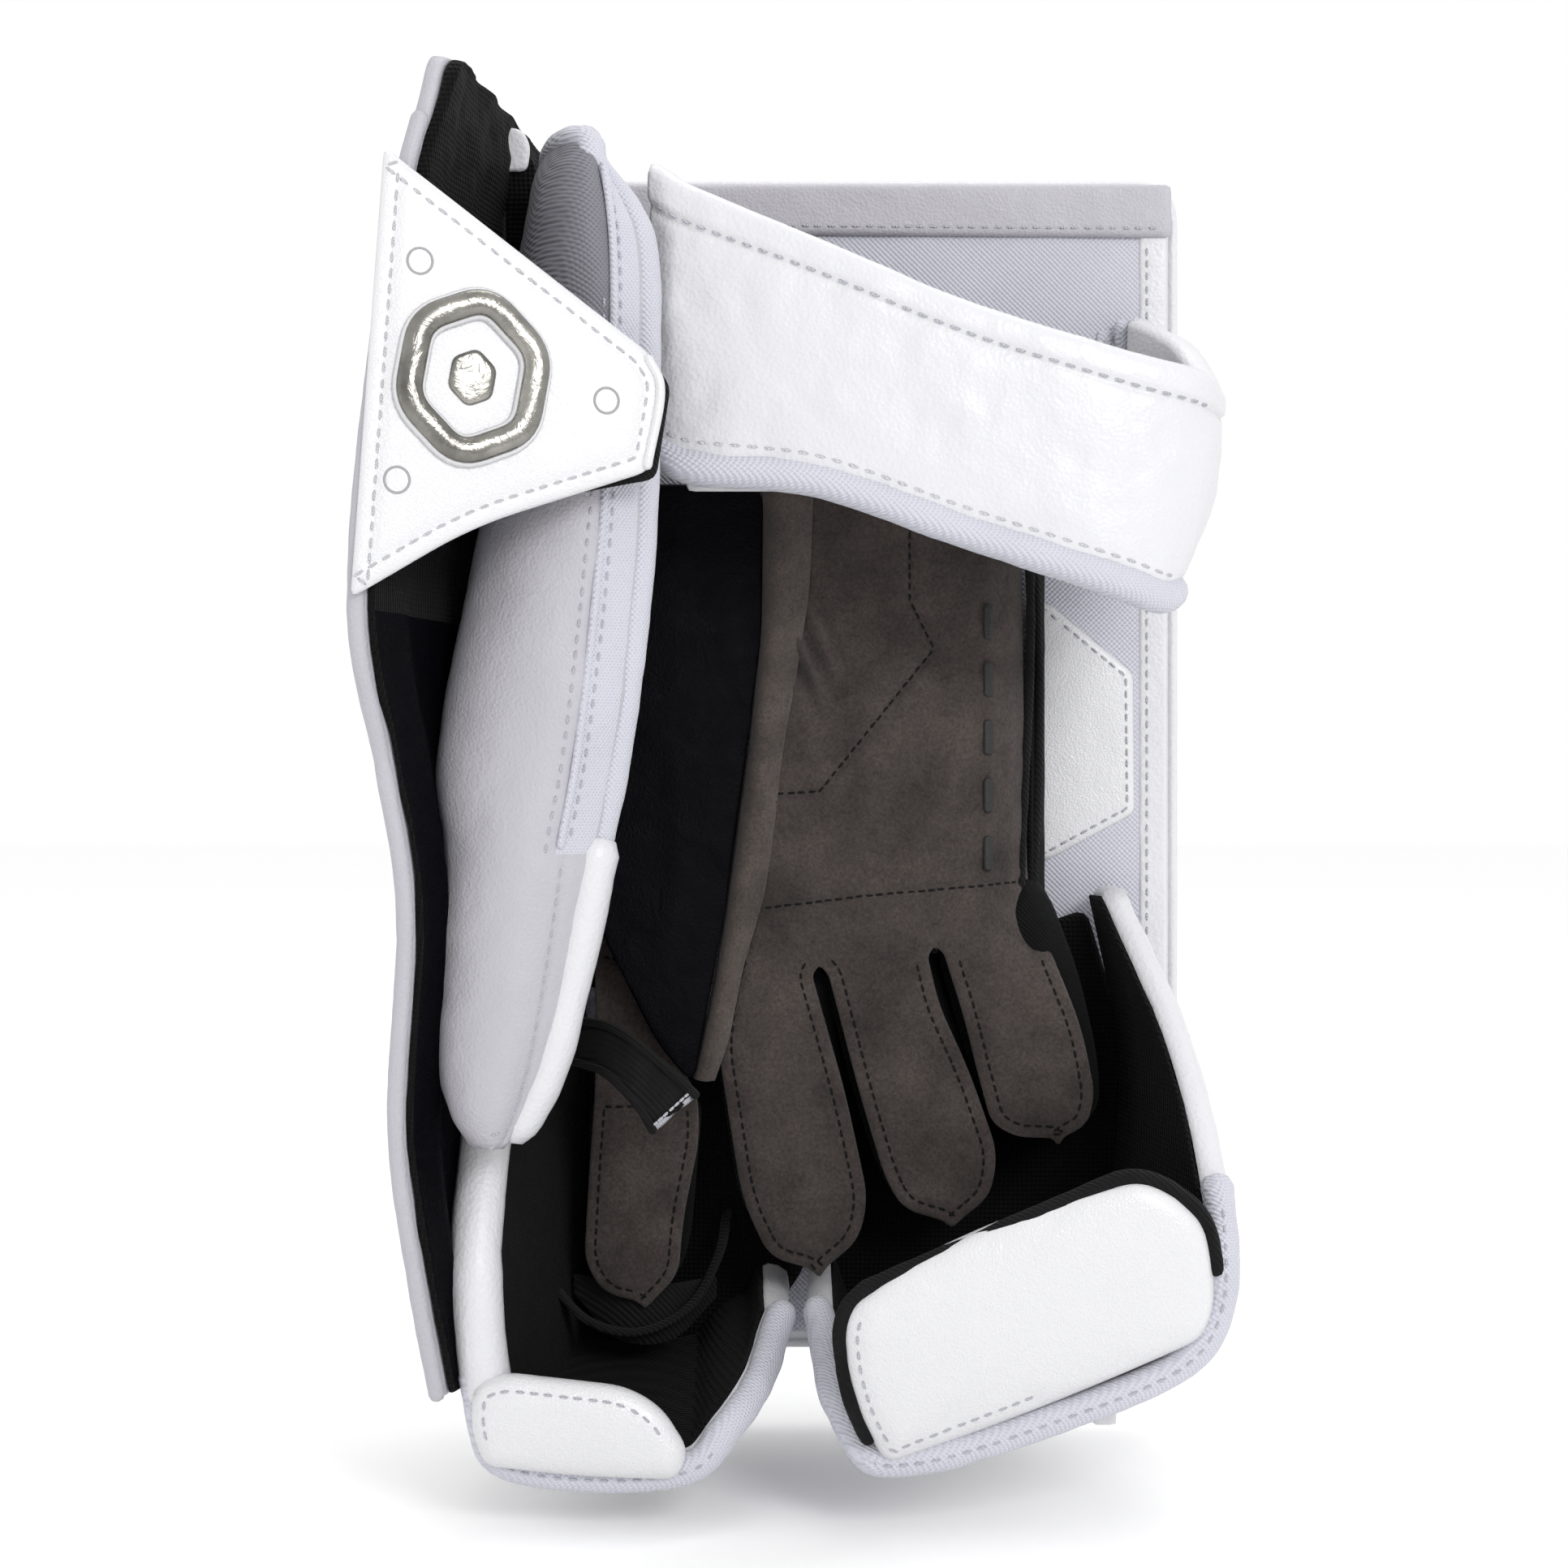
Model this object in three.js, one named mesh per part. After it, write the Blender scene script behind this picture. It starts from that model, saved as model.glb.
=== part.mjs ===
// Ice hockey goalie blocker glove for the right hand, as a bench assembly of separate pieces.
// Millimetres. +X is the little finger's side, +Y goes from the palm to the board, +Z goes from the fingers to the arm.
// The origin is the middle of the hand, between the palm and the board, on the board's vertical centre line.
// "height above the board" (h below) is measured from the board's back face towards the palm side, along -Y.
import * as THREE from "three";

// ---- Driving dimensions ----
const boardWidth = 203, boardHeight = 381, boardThickness = 32, boardCorner = 12;
const handHeight = 26;              // the hand's centre plane above the board's back face
const leather = 1.5;                // covers
const liner = 1.3;                  // inner linings
const clearance = 0.3;              // between pieces that touch
const edgeBandThickness = 4;
const stiffenerThickness = 2;
const topBandWidth = 15;

const sideGap = 12.5;               // board edge to the side board's root
const sideDepth = 125;              // side board's nominal height above the board
const sideFoam = 3.6;
const sideRoot = 6;                 // height at which the side board starts

const flapThickness = 3, flapLoopThickness = 1.5;
const flapReach = 76;               // from the side board's edge to the flap's tip

const wingFoam = 7.5, wingBindingRadius = 4, wingBumperRadius = 6.5;
const wingTopDrop = 4;              // below the board's top
const wingClearance = 4;          // to the side board

const strapFoam = 5, strapBindingRadius = 3.5;
const strapWidthAtWing = 78, strapWidthAtBoard = 40;
const strapTopAtWing = 168;
const strapDrop = 57;               // how much lower the strap's top runs at the far edge of the board
const strapHeight = 95;

const palmWidth = 88, palmThickness = 2, palmHeight = 42, palmLeft = -37;
const palmTop = 100, palmBottom = -58;
const backPadThickness = 10;

const fingerBaseWidth = 27, fingerTipWidth = 31, fingerPad = 8;
const fingerFront = 40, fingerBackHeight = 14;
const fingers = [                   // base x, base z, length, lean in degrees
  { name: "finger_1", x: -32, z: -66, length: 95, lean: 8 },
  { name: "finger_2", x: 3, z: -63, length: 84, lean: 13.5 },
  { name: "finger_3", x: 36, z: -57, length: 67, lean: 16 },
];
const thumb = { x: -68, z: -100, length: 68, width: 32 };

const guardDepth = 94;              // finger guard's rim above the board
const guardFoam = 6, guardRoot = 8, guardFlare = 14;
const guardLipThickness = 10, guardBindingRadius = 4.5, guardTrimRadius = 2.2;
const fingertipClearance = 28;      // fingertip to the outside of the rim, along the finger
const thumbGuardDepth = 88, thumbGuardFoam = 7;
const thumbtipClearance = 44;

// ---- Derived places ----
const halfWidth = boardWidth / 2, halfHeight = boardHeight / 2, palmRight = palmLeft + palmWidth;
const layersAround = leather + liner + 2 * clearance;
const sideThickness = sideFoam + layersAround;
const wingThickness = wingFoam + layersAround, strapThickness = strapFoam + layersAround;
const tipOf = f => {
  const lean = THREE.MathUtils.degToRad(f.lean ?? 0);
  return { x: f.x + f.length * Math.sin(lean), z: f.z - f.length * Math.cos(lean) };
};

const root = new THREE.Group();

// ---- Colours ----
const finish = (color, roughness, metalness = 0) => new THREE.MeshStandardMaterial({ color, roughness, metalness });
const whiteLeather = finish(0xf2f1f3, 0.45), whiteMesh = finish(0xe4e3ec, 0.85), blackMesh = finish(0x121214, 0.9);
const blackLining = finish(0x0b0b0e, 0.6), greySuede = finish(0x5c5450, 0.95), blackElastic = finish(0x1b1b1c, 0.9);
const foam = finish(0x8c8f94, 0.9), plastic = finish(0xd8d9dc, 0.5), silver = finish(0xa9a8a2, 0.2, 1);

// ---- Helpers ----
// A point from x, height above the board and z.
const at = (x, height, z) => new THREE.Vector3(x, handHeight - height, z);

function add(name, geometry, material) {
  const mesh = new THREE.Mesh(geometry, material);
  mesh.name = name;
  root.add(mesh);
  return mesh;
}

const smooth = points => points.length > 2
  ? new THREE.CatmullRomCurve3(points, false, "centripetal")
  : new THREE.LineCurve3(points[0], points[1]);

// A smooth surface through rows of points: u runs along a row, v from row to row.
function surfaceThrough(rows) {
  const curves = rows.map(smooth);
  return (u, v) => smooth(curves.map(c => c.getPoint(u))).getPoint(v);
}

function normalAt(surface, u, v) {
  const e = 0.004;
  const along = surface(Math.min(u + e, 1), v).sub(surface(Math.max(u - e, 0), v));
  const across = surface(u, Math.min(v + e, 1)).sub(surface(u, Math.max(v - e, 0)));
  return along.cross(across).normalize();
}

// The closed solid between two depths under a surface. span is [u0, u1, v0, v1].
function layer(surface, near, far, nu, nv, span = [0, 1, 0, 1]) {
  const position = [], index = [], row = nv + 1, side = (nu + 1) * row;
  for (const depth of [near, far])
    for (let i = 0; i <= nu; i++)
      for (let j = 0; j <= nv; j++) {
        const u = span[0] + (span[1] - span[0]) * i / nu;
        const v = span[2] + (span[3] - span[2]) * j / nv;
        const p = surface(u, v).addScaledVector(normalAt(surface, u, v), -depth);
        position.push(p.x, p.y, p.z);
      }
  const quad = (a, b, c, d) => index.push(a, b, c, a, c, d);
  for (let i = 0; i < nu; i++)
    for (let j = 0; j < nv; j++) {
      const a = i * row + j;
      quad(a, a + row, a + row + 1, a + 1);
      quad(side + a, side + a + 1, side + a + row + 1, side + a + row);
    }
  for (let i = 0; i < nu; i++) {
    const first = i * row, last = first + nv;
    quad(first, side + first, side + first + row, first + row);
    quad(last, last + row, side + last + row, side + last);
  }
  for (let j = 0; j < nv; j++) {
    const first = j, last = nu * row + j;
    quad(first, first + 1, side + first + 1, side + first);
    quad(last, side + last, side + last + 1, last + 1);
  }
  const made = new THREE.BufferGeometry();
  made.setAttribute("position", new THREE.Float32BufferAttribute(position, 3));
  made.setIndex(index);
  return made;
}

// Points along a surface's edge at u = 0 or 1, depth under the surface and beyond its edge.
function besideEdge(surface, u, v0, v1, count, depth, beyond) {
  return Array.from({ length: count + 1 }, (_, i) => {
    const v = v0 + (v1 - v0) * i / count, p = surface(u, v);
    const normal = normalAt(surface, u, v);
    const along = surface(u, Math.min(v + 0.01, 1)).sub(surface(u, Math.max(v - 0.01, 0)));
    const out = along.cross(normal).normalize();
    if (out.dot(p.clone().sub(surface(u ? 0.9 : 0.1, v))) < 0) out.negate();
    return p.addScaledVector(normal, -depth).addScaledVector(out, beyond);
  });
}

// Cover, foam and lining under one surface, each its own piece.
function sandwich(names, surface, foamThickness, nu, nv, covers) {
  const foamStart = leather + clearance, liningStart = foamStart + foamThickness + clearance;
  add(names[0], layer(surface, 0, leather, nu, nv), covers[0]);
  add(names[1], layer(surface, foamStart, foamStart + foamThickness, nu, nv), foam);
  add(names[2], layer(surface, liningStart, liningStart + liner, nu, nv), covers[1]);
}

// An outline of [x, z] corners, rounded by radius where it fits.
function outline(corners, radius) {
  const shape = new THREE.Shape();
  corners.forEach(([x, z], i) => {
    const before = corners.at(i - 1), after = corners[(i + 1) % corners.length];
    const toBefore = new THREE.Vector2(before[0] - x, before[1] - z);
    const toAfter = new THREE.Vector2(after[0] - x, after[1] - z);
    const cut = Math.min(radius, toBefore.length() / 2.2, toAfter.length() / 2.2);
    toBefore.setLength(cut);
    toAfter.setLength(cut);
    shape[i ? "lineTo" : "moveTo"](x + toBefore.x, z + toBefore.y);
    shape.quadraticCurveTo(x, z, x + toAfter.x, z + toAfter.y);
  });
  shape.closePath();
  return shape;
}

const rectangle = (x0, x1, z0, z1) => [[x0, z0], [x1, z0], [x1, z1], [x0, z1]];

// A flat piece of an outline, from one height above the board to another.
function plate(shape, low, high, curveSegments = 3) {
  const made = new THREE.ExtrudeGeometry(shape, { depth: high - low, bevelEnabled: false, curveSegments });
  made.rotateX(Math.PI / 2);
  made.translate(0, handHeight - low, 0);
  return made;
}

// A round cord or binding along points.
function tube(points, radius, steps, sides = 8) {
  const section = new THREE.Shape();
  for (let i = 0; i < sides; i++) {
    const a = 2 * Math.PI * i / sides;
    section[i ? "lineTo" : "moveTo"](radius * Math.cos(a), radius * Math.sin(a));
  }
  return new THREE.ExtrudeGeometry(section, { steps, bevelEnabled: false, extrudePath: smooth(points) });
}

// Straight interpolation in a list of [position, value], which runs downwards.
function between(stations, position, column) {
  for (let i = 1; i < stations.length; i++) {
    const [a, b] = [stations[i - 1], stations[i]];
    if (position >= b[0] || i === stations.length - 1) {
      const share = THREE.MathUtils.clamp((a[0] - position) / (a[0] - b[0]), 0, 1);
      return a[column] + (b[column] - a[column]) * share;
    }
  }
}

// ---- Board ----
function makeBoard() {
  const inset = edgeBandThickness + clearance;
  const outer = rectangle(-halfWidth, halfWidth, -halfHeight, halfHeight);
  const inner = rectangle(inset - halfWidth, halfWidth - inset, inset - halfHeight, halfHeight - inset);
  const bandInner = rectangle(edgeBandThickness - halfWidth, halfWidth - edgeBandThickness,
    edgeBandThickness - halfHeight, halfHeight - edgeBandThickness);
  const innerCorner = boardCorner - edgeBandThickness;
  const coreFront = -(boardThickness - 2 * leather + leather - 2 * clearance - stiffenerThickness);
  add("board_back_panel", plate(outline(inner, innerCorner), -leather, 0), whiteMesh);
  add("board_foam_core", plate(outline(inner, innerCorner), coreFront, -leather - clearance), foam);
  add("board_stiffener", plate(outline(inner, innerCorner), coreFront - clearance - stiffenerThickness,
    coreFront - clearance), plastic);
  add("board_front_cover", plate(outline(inner, innerCorner), -boardThickness,
    coreFront - 2 * clearance - stiffenerThickness), whiteLeather);
  const band = outline(outer, boardCorner);
  band.holes.push(outline(bandInner, innerCorner));
  add("board_edge_band", plate(band, -boardThickness, 0), whiteLeather);
  add("board_top_band", plate(outline(rectangle(-halfWidth + 2, halfWidth - 2, halfHeight - topBandWidth, halfHeight - 1), 2),
    clearance, clearance + 2 * leather, 1), whiteLeather);
}

// A leather patch on the board's back, beside the palm.
function makeBackPatch() {
  const left = palmRight + 5, right = halfWidth - 12;
  const corners = [[left, 50], [right, 26], [right, -18], [left, -34]];
  add("back_patch", plate(outline(corners, 2), clearance, clearance + leather, 1), whiteLeather);
}

// ---- Side board ----
// [share of half the board's height, share of sideDepth, flare of the free edge in mm]
const sideStations = [[1.045, 0.95, 12], [0.84, 1, 20], [0.215, 1.09, 31], [0, 0.96, 26.5], [-0.21, 0.9, 21.5],
  [-0.56, 0.84, 25], [-0.79, 0.8, 20], [-0.96, 0.76, 15]];
const sideEdgeHeight = z => sideDepth * between(sideStations, z / halfHeight, 1);
const sideOuterX = (z, h) => -halfWidth - sideGap
  - between(sideStations, z / halfHeight, 2) * h / sideEdgeHeight(z);
const sideInnerX = (z, h) => sideOuterX(z, h) + sideThickness;

function makeSideBoard() {
  const rows = sideStations.map(([share]) => {
    const z = share * halfHeight, edge = sideEdgeHeight(z);
    return [edge, (sideRoot + edge) / 2, sideRoot].map(h => at(sideOuterX(z, h), h, z));
  });
  const surface = surfaceThrough(rows);
  sandwich(["side_board_skin", "side_board_core", "side_board_liner"], surface, sideFoam, 3, 14,
    [whiteLeather, blackMesh]);
  const radius = 3;
  add("side_board_binding", tube(besideEdge(surface, 0, 0.33, 1, 16, sideThickness / 2, radius + 0.8), radius, 16),
    whiteLeather);
  const strip = rectangle(-halfWidth - sideGap + 1, -halfWidth - clearance, -0.94 * halfHeight, 0.94 * halfHeight);
  add("side_hinge_strip", plate(outline(strip, 1), -3, -1, 1), whiteLeather);
}

// A short tab of lining between the side board and the wing, at the top.
function makeLiningTab() {
  const height = 50, top = halfHeight;
  const x = Math.max(sideInnerX(top, height), sideInnerX(top - 45, height)) + 1.2;
  const corners = [[x, top - 45], [x + 6, top - 45], [x + 6, top - 6], [x + 4, top - 1], [x, top - 4]];
  add("side_lining_tab", plate(outline(corners, 3), height - 1.5, height + 1.5, 1), blackMesh);
}

// ---- Closure flap ----
const flapTop = 0.84 * halfHeight, flapBottom = 0.21 * halfHeight;
const flapGap = 5;
const flapRight = { top: flapTop - 51, bottom: flapTop - 83, height: sideDepth - 9 };
const flapStack = flapThickness + clearance + flapLoopThickness;

function flapCorner(z) {
  return at(sideOuterX(z, sideEdgeHeight(z)), sideEdgeHeight(z) + flapGap + flapStack, z);
}

function makeFlap() {
  const topLeft = flapCorner(flapTop), bottomLeft = flapCorner(flapBottom);
  const rightX = sideOuterX((flapTop + flapBottom) / 2, sideDepth) + flapReach;
  const row = (from, z) => [0, 0.5, 1].map(t => from.clone().lerp(at(rightX, flapRight.height, z), t));
  const surface = surfaceThrough([row(topLeft, flapRight.top), row(bottomLeft, flapRight.bottom)]);
  const facing = (u, v) => surface(u, 1 - v);
  add("flap_panel", layer(facing, 0, flapThickness, 8, 6), whiteLeather);
  add("flap_loop_backing", layer(facing, flapThickness + clearance, flapStack, 4, 4, [0.5, 1, 0, 1]), blackMesh);
  const standing = 1.2;
  add("flap_emblem", layer(facing, -clearance - standing, -clearance, 4, 4, [0.28, 0.56, 0.36, 0.72]), silver);
}

// ---- Wrist wing ----
// Each row: z, then the near edge, the crown, the shoulder and the root, as x and height at a side board 125 mm deep.
// A point with no x follows the side board at an extra gap. drop lowers a point of the row.
const wingTop = halfHeight - wingTopDrop, wingRise = sideDepth / 125;
const beside = (z, h, more = 0) => sideInnerX(z, h) + wingClearance + more;
const wingRows = [
  [wingTop, { x: -76, h: 98, drop: 15 }, { x: -88, h: 94, drop: 2 }, { x: -98, h: 76 }, { x: -103, h: 46, drop: 12 }],
  [110, { x: -68, h: 102 }, { x: -84, h: 105 }, { x: -103, h: 90 }, { x: -105, h: 42 }],
  [60, { x: -69, h: 102 }, { x: -90, h: 108 }, { x: -113, h: 94 }, { x: -108, h: 42 }],
  [0, { x: -83, h: 102 }, { x: -101, h: 110 }, { h: 96 }, { h: 44 }],
  [-25, { x: -91, h: 102 }, { x: -107, h: 110 }, { h: 96 }, { h: 52 }],
  [-60, { x: -99, h: 102 }, { x: -110, h: 110 }, { h: 98 }, { h: 66 }],
  [-92, { x: -105, h: 102 }, { x: -112, h: 107 }, { h: 99, gap: 3 }, { h: 84, gap: 3 }],
  [-110, { x: -108, h: 101 }, { x: -112, h: 104 }, { x: -117, h: 102 }, { x: -120, h: 95 }],
];
const shift = halfWidth - 101.5;    // keeps the fixed points with the board's thumb edge

function makeWing() {
  const rows = wingRows.map(([z, ...points]) => points.map(({ x, h, gap, drop = 0 }) => {
    const height = h * wingRise;
    return at(x === undefined ? beside(z, height, gap) : x - shift, height, z - drop);
  }));
  const surface = surfaceThrough(rows);
  sandwich(["wing_cover", "wing_foam", "wing_liner"], surface, wingFoam, 8, 12, [whiteLeather, whiteMesh]);
  const edge = (v0, v1, count, radius) => tube(besideEdge(surface, 0, v0, v1, count, wingThickness / 2,
    radius + 1.4), radius, count);
  add("wing_binding", edge(0, 0.53, 14, wingBindingRadius), whiteMesh);
  add("wing_bumper", edge(0.575, 0.9, 10, wingBumperRadius), whiteLeather);
}

// ---- Wrist strap ----
const strapLeft = -57.5 - shift;
const strapSwing = { x: halfWidth - 9, height: 8 };
function strapRows() {
  const right = halfWidth, top = strapTopAtWing;
  // x, height, drop of the top edge as a share of strapDrop, width share from wing to board
  const run = [
    [strapLeft, strapHeight - 3, 0, 0], [strapLeft * 0.3, strapHeight + 2, 0.32, 0.34],
    [right * 0.27, strapHeight + 3, 0.65, 0.43], [right * 0.72, strapHeight + 1, 0.89, 0.41],
    [right * 0.95, strapHeight - 9, 0.97, 0.6], [right + 5, strapHeight - 34, 1, 1],
    [right + 1, strapHeight - 62, 0.67, 1], [strapSwing.x - 1, strapSwing.height + 2, 0.46, 1],
  ];
  const width = share => strapWidthAtWing + (strapWidthAtBoard - strapWidthAtWing) * share;
  return [0, 0.5, 1].map(down => run.map(([x, h, drop, narrow]) =>
    at(x, h, top - strapDrop * drop - width(narrow) * down)));
}

function makeStrap() {
  const rows = strapRows();
  const surface = surfaceThrough(rows.slice().reverse());
  sandwich(["strap_leather", "strap_foam", "strap_liner"], surface, strapFoam, 22, 3, [whiteLeather, blackMesh]);
  add("strap_binding", tube([...Array(15).keys()].map(i => surface(i * 0.6 / 14, 0)
    .add(new THREE.Vector3(0, strapThickness / 2, -strapBindingRadius - 0.8))), strapBindingRadius, 14), whiteMesh);
  const tabTop = strapTopAtWing - strapWidthAtWing + 14, tabHeight = strapHeight - 14;
  add("strap_inner_tab", plate(outline(rectangle(strapLeft + 2, strapLeft + 50, tabTop - 24, tabTop), 1),
    tabHeight - 2.5, tabHeight, 1), whiteLeather);
  const anchorLow = strapTopAtWing - 0.46 * strapDrop - strapWidthAtBoard;
  add("strap_anchor", plate(outline(rectangle(strapSwing.x - 16, strapSwing.x + 4, anchorLow, anchorLow + strapWidthAtBoard), 2),
    clearance, clearance + 2, 1), whiteMesh);
}

// ---- Palm and hand ----
function makePalm() {
  const right = palmRight;
  const row = (z, wider) => [[palmLeft - wider / 2, palmHeight], [palmLeft + 0.4 * palmWidth, palmHeight + 3],
    [right - 14, palmHeight], [right + wider / 2, palmHeight - 14], [right + 2 + wider / 2, backPadThickness + 4]]
    .map(([x, h]) => at(x, h, z));
  const surface = surfaceThrough([row(palmTop, 0), row(40, 0), row(-20, 2), row(palmBottom, 8)].reverse());
  add("palm_panel", layer(surface, 0, palmThickness, 10, 6), greySuede);
  add("palm_overlay", layer(surface, -clearance - 1, -clearance, 4, 4, [0.02, 0.4, 0.48, 0.95]), greySuede);
  const edge = [palmTop - 4, 40, -20, palmBottom + 4].map((z, i) => at(right + 5 + [0, 0, 1, 4][i], backPadThickness + 2, z));
  add("palm_edge_piping", tube(edge, 2, 10, 6), blackLining);
  const pad = rectangle(palmLeft - 3, right, palmBottom + 14, palmTop + 14);
  add("hand_back_pad", plate(outline(pad, 14), clearance, clearance + backPadThickness), blackLining);
}

// The web of lining between the palm and the thumb, and the palm of the thumb's base.
function makeThumbWeb() {
  const left = palmLeft;
  const rows = [
    [at(left - 28, 46, 74), at(left - 2, 43, 74)],
    [at(left - 42, 49, -10), at(left - 3, 43.5, -10)],
    [at(left - 44, 51, -50), at(left - 7.5, 45, -52)],
    [at(left - 32, 53, -84), at(left - 13, 50, -86)],
  ];
  const surface = surfaceThrough(rows.reverse());
  add("thumb_web", layer(surface, 0, liner + 0.5, 3, 10), blackLining);
  const base = [[left - 49, -50], [left - 17, -50], [left - 15, -95], [left - 47, -95]];
  add("thumb_base_palm", plate(outline(base, 5), 34, 36, 2), greySuede);
  const path = [at(left - 50, 62, -74), at(left - 34, 66, -84), at(left - 19, 66, -98)];
  const band = outline(rectangle(-1.7, 1.7, -10, 10), 1.5);
  add("thumb_loop", new THREE.ExtrudeGeometry(band, { steps: 6, bevelEnabled: false, curveSegments: 1,
    extrudePath: smooth(path) }), blackElastic);
}

// ---- Fingers ----
// A stall's outline: narrower at its base and round at its tip.
function stall(base, tip, length) {
  return outline([[-base / 2, 0], [base / 2, 0], [tip / 2, -length], [-tip / 2, -length]], tip / 2.4);
}

function makeFinger(f) {
  const lean = THREE.MathUtils.degToRad(f.lean ?? 0), start = 4;
  const place = mesh => {
    mesh.geometry.translate(0, 0, -start).rotateY(-lean);
    mesh.position.set(f.x, 0, f.z);
  };
  const base = f.width ?? fingerBaseWidth, tip = f.width ?? fingerTipWidth;
  place(add(f.name + "_palm", plate(stall(base, tip, f.length - start), fingerFront - 2, fingerFront), greySuede));
  place(add(f.name + "_back", plate(stall(base - 4, tip - 4, f.length - 2 * start),
    fingerBackHeight, fingerBackHeight + fingerPad), blackLining));
}

// ---- Finger guard ----
const lowest = tipOf(fingers[0]).z - fingertipClearance - 18;      // outside of the rim under the longest finger
const guardRight = halfWidth - 1, guardSpread = 13;                // the outer wall leans out towards its rim
const guardLeft = fingers[0].x + 10;
// x, z and edge height of the rim, from the little finger's side round to the thumb's side
function guardRim() {
  return [
    [Math.max(guardRight - 24, palmRight + 25), palmBottom + 15, 18],
    [Math.max(guardRight - 11, palmRight + 36), palmBottom - 30, 58], [guardRight, lowest + 72, guardDepth],
    [guardRight - 1, lowest + 50, guardDepth], [guardRight - 14, lowest + 34, guardDepth],
    [(guardRight + guardLeft) / 2 + 8, lowest + 13, guardDepth], [guardLeft + 34, lowest + 1, guardDepth],
    [guardLeft + 20, lowest + 1, guardDepth - 3], [guardLeft + 9, lowest + 14, guardDepth - 16],
    [guardLeft + 3, lowest + 34, 48],
  ];
}

function makeFingerGuard() {
  const rim = guardRim();
  const rise = z => guardFlare * THREE.MathUtils.clamp((lowest + 70 - z) / 60, 0, 1);
  const rows = rim.map(([x, z, edge], i) => {
    const lean = i < 5 ? guardSpread * (edge - guardRoot) / (guardDepth - guardRoot) : 0;
    return [at(x - lean, guardRoot, z + rise(z)), at(x - lean / 2, (edge + guardRoot) / 2, z + rise(z) / 2),
      at(x, edge, z)];
  });
  const surface = surfaceThrough(rows);
  sandwich(["finger_guard_skin", "finger_guard_foam", "finger_guard_liner"], surface, guardFoam, 4, 24,
    [whiteLeather, blackMesh]);
  add("finger_guard_binding", tube(besideEdge(surface, 1, 0.16, 1, 26, (guardFoam + layersAround) / 2,
    guardBindingRadius + 0.8), guardBindingRadius, 26), whiteMesh);
  const lipLow = guardDepth + 1.5, lipHigh = lipLow + guardLipThickness;
  const lip = [[guardLeft + 12, lowest + 44], [guardLeft + 18, lowest + 57], [guardRight - 36, lowest + 86],
    [guardRight - 25, lowest + 86], [guardRight - 15, lowest + 76], [guardRight - 15, lowest + 53],
    [guardRight - 26, lowest + 42], [guardLeft + 26, lowest + 13]];
  add("finger_guard_lip", plate(outline(lip, 7), lipLow, lipHigh), whiteLeather);
  const trim = [[guardLeft + 21, lowest + 14], [guardLeft + 14, lowest + 26], [guardLeft + 9.5, lowest + 44],
    [guardLeft + 16, lowest + 60], [guardRight - 37, lowest + 89.5], [guardRight - 24, lowest + 89.5],
    [guardRight - 13, lowest + 81]].map(([x, z]) => at(x, lipLow + 4, z));
  add("finger_guard_trim", tube(trim, guardTrimRadius, 20, 6), blackElastic);
  const back = [[guardLeft + 2, palmBottom - 4], [guardRight - 60, palmBottom - 2], [guardRight - 42, palmBottom - 6],
    [guardRight - 28, lowest + 62], [guardLeft + 34, lowest + 30], [guardLeft + 16, lowest + 46]];
  add("finger_guard_back", plate(outline(back, 6), 3, 9), blackMesh);
  add("guard_pull_tab", plate(outline(rectangle(guardRight - 34, guardRight - 28, lowest + 8, lowest + 20), 1),
    guardDepth - 30, guardDepth - 20, 1), whiteLeather);
}

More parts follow.
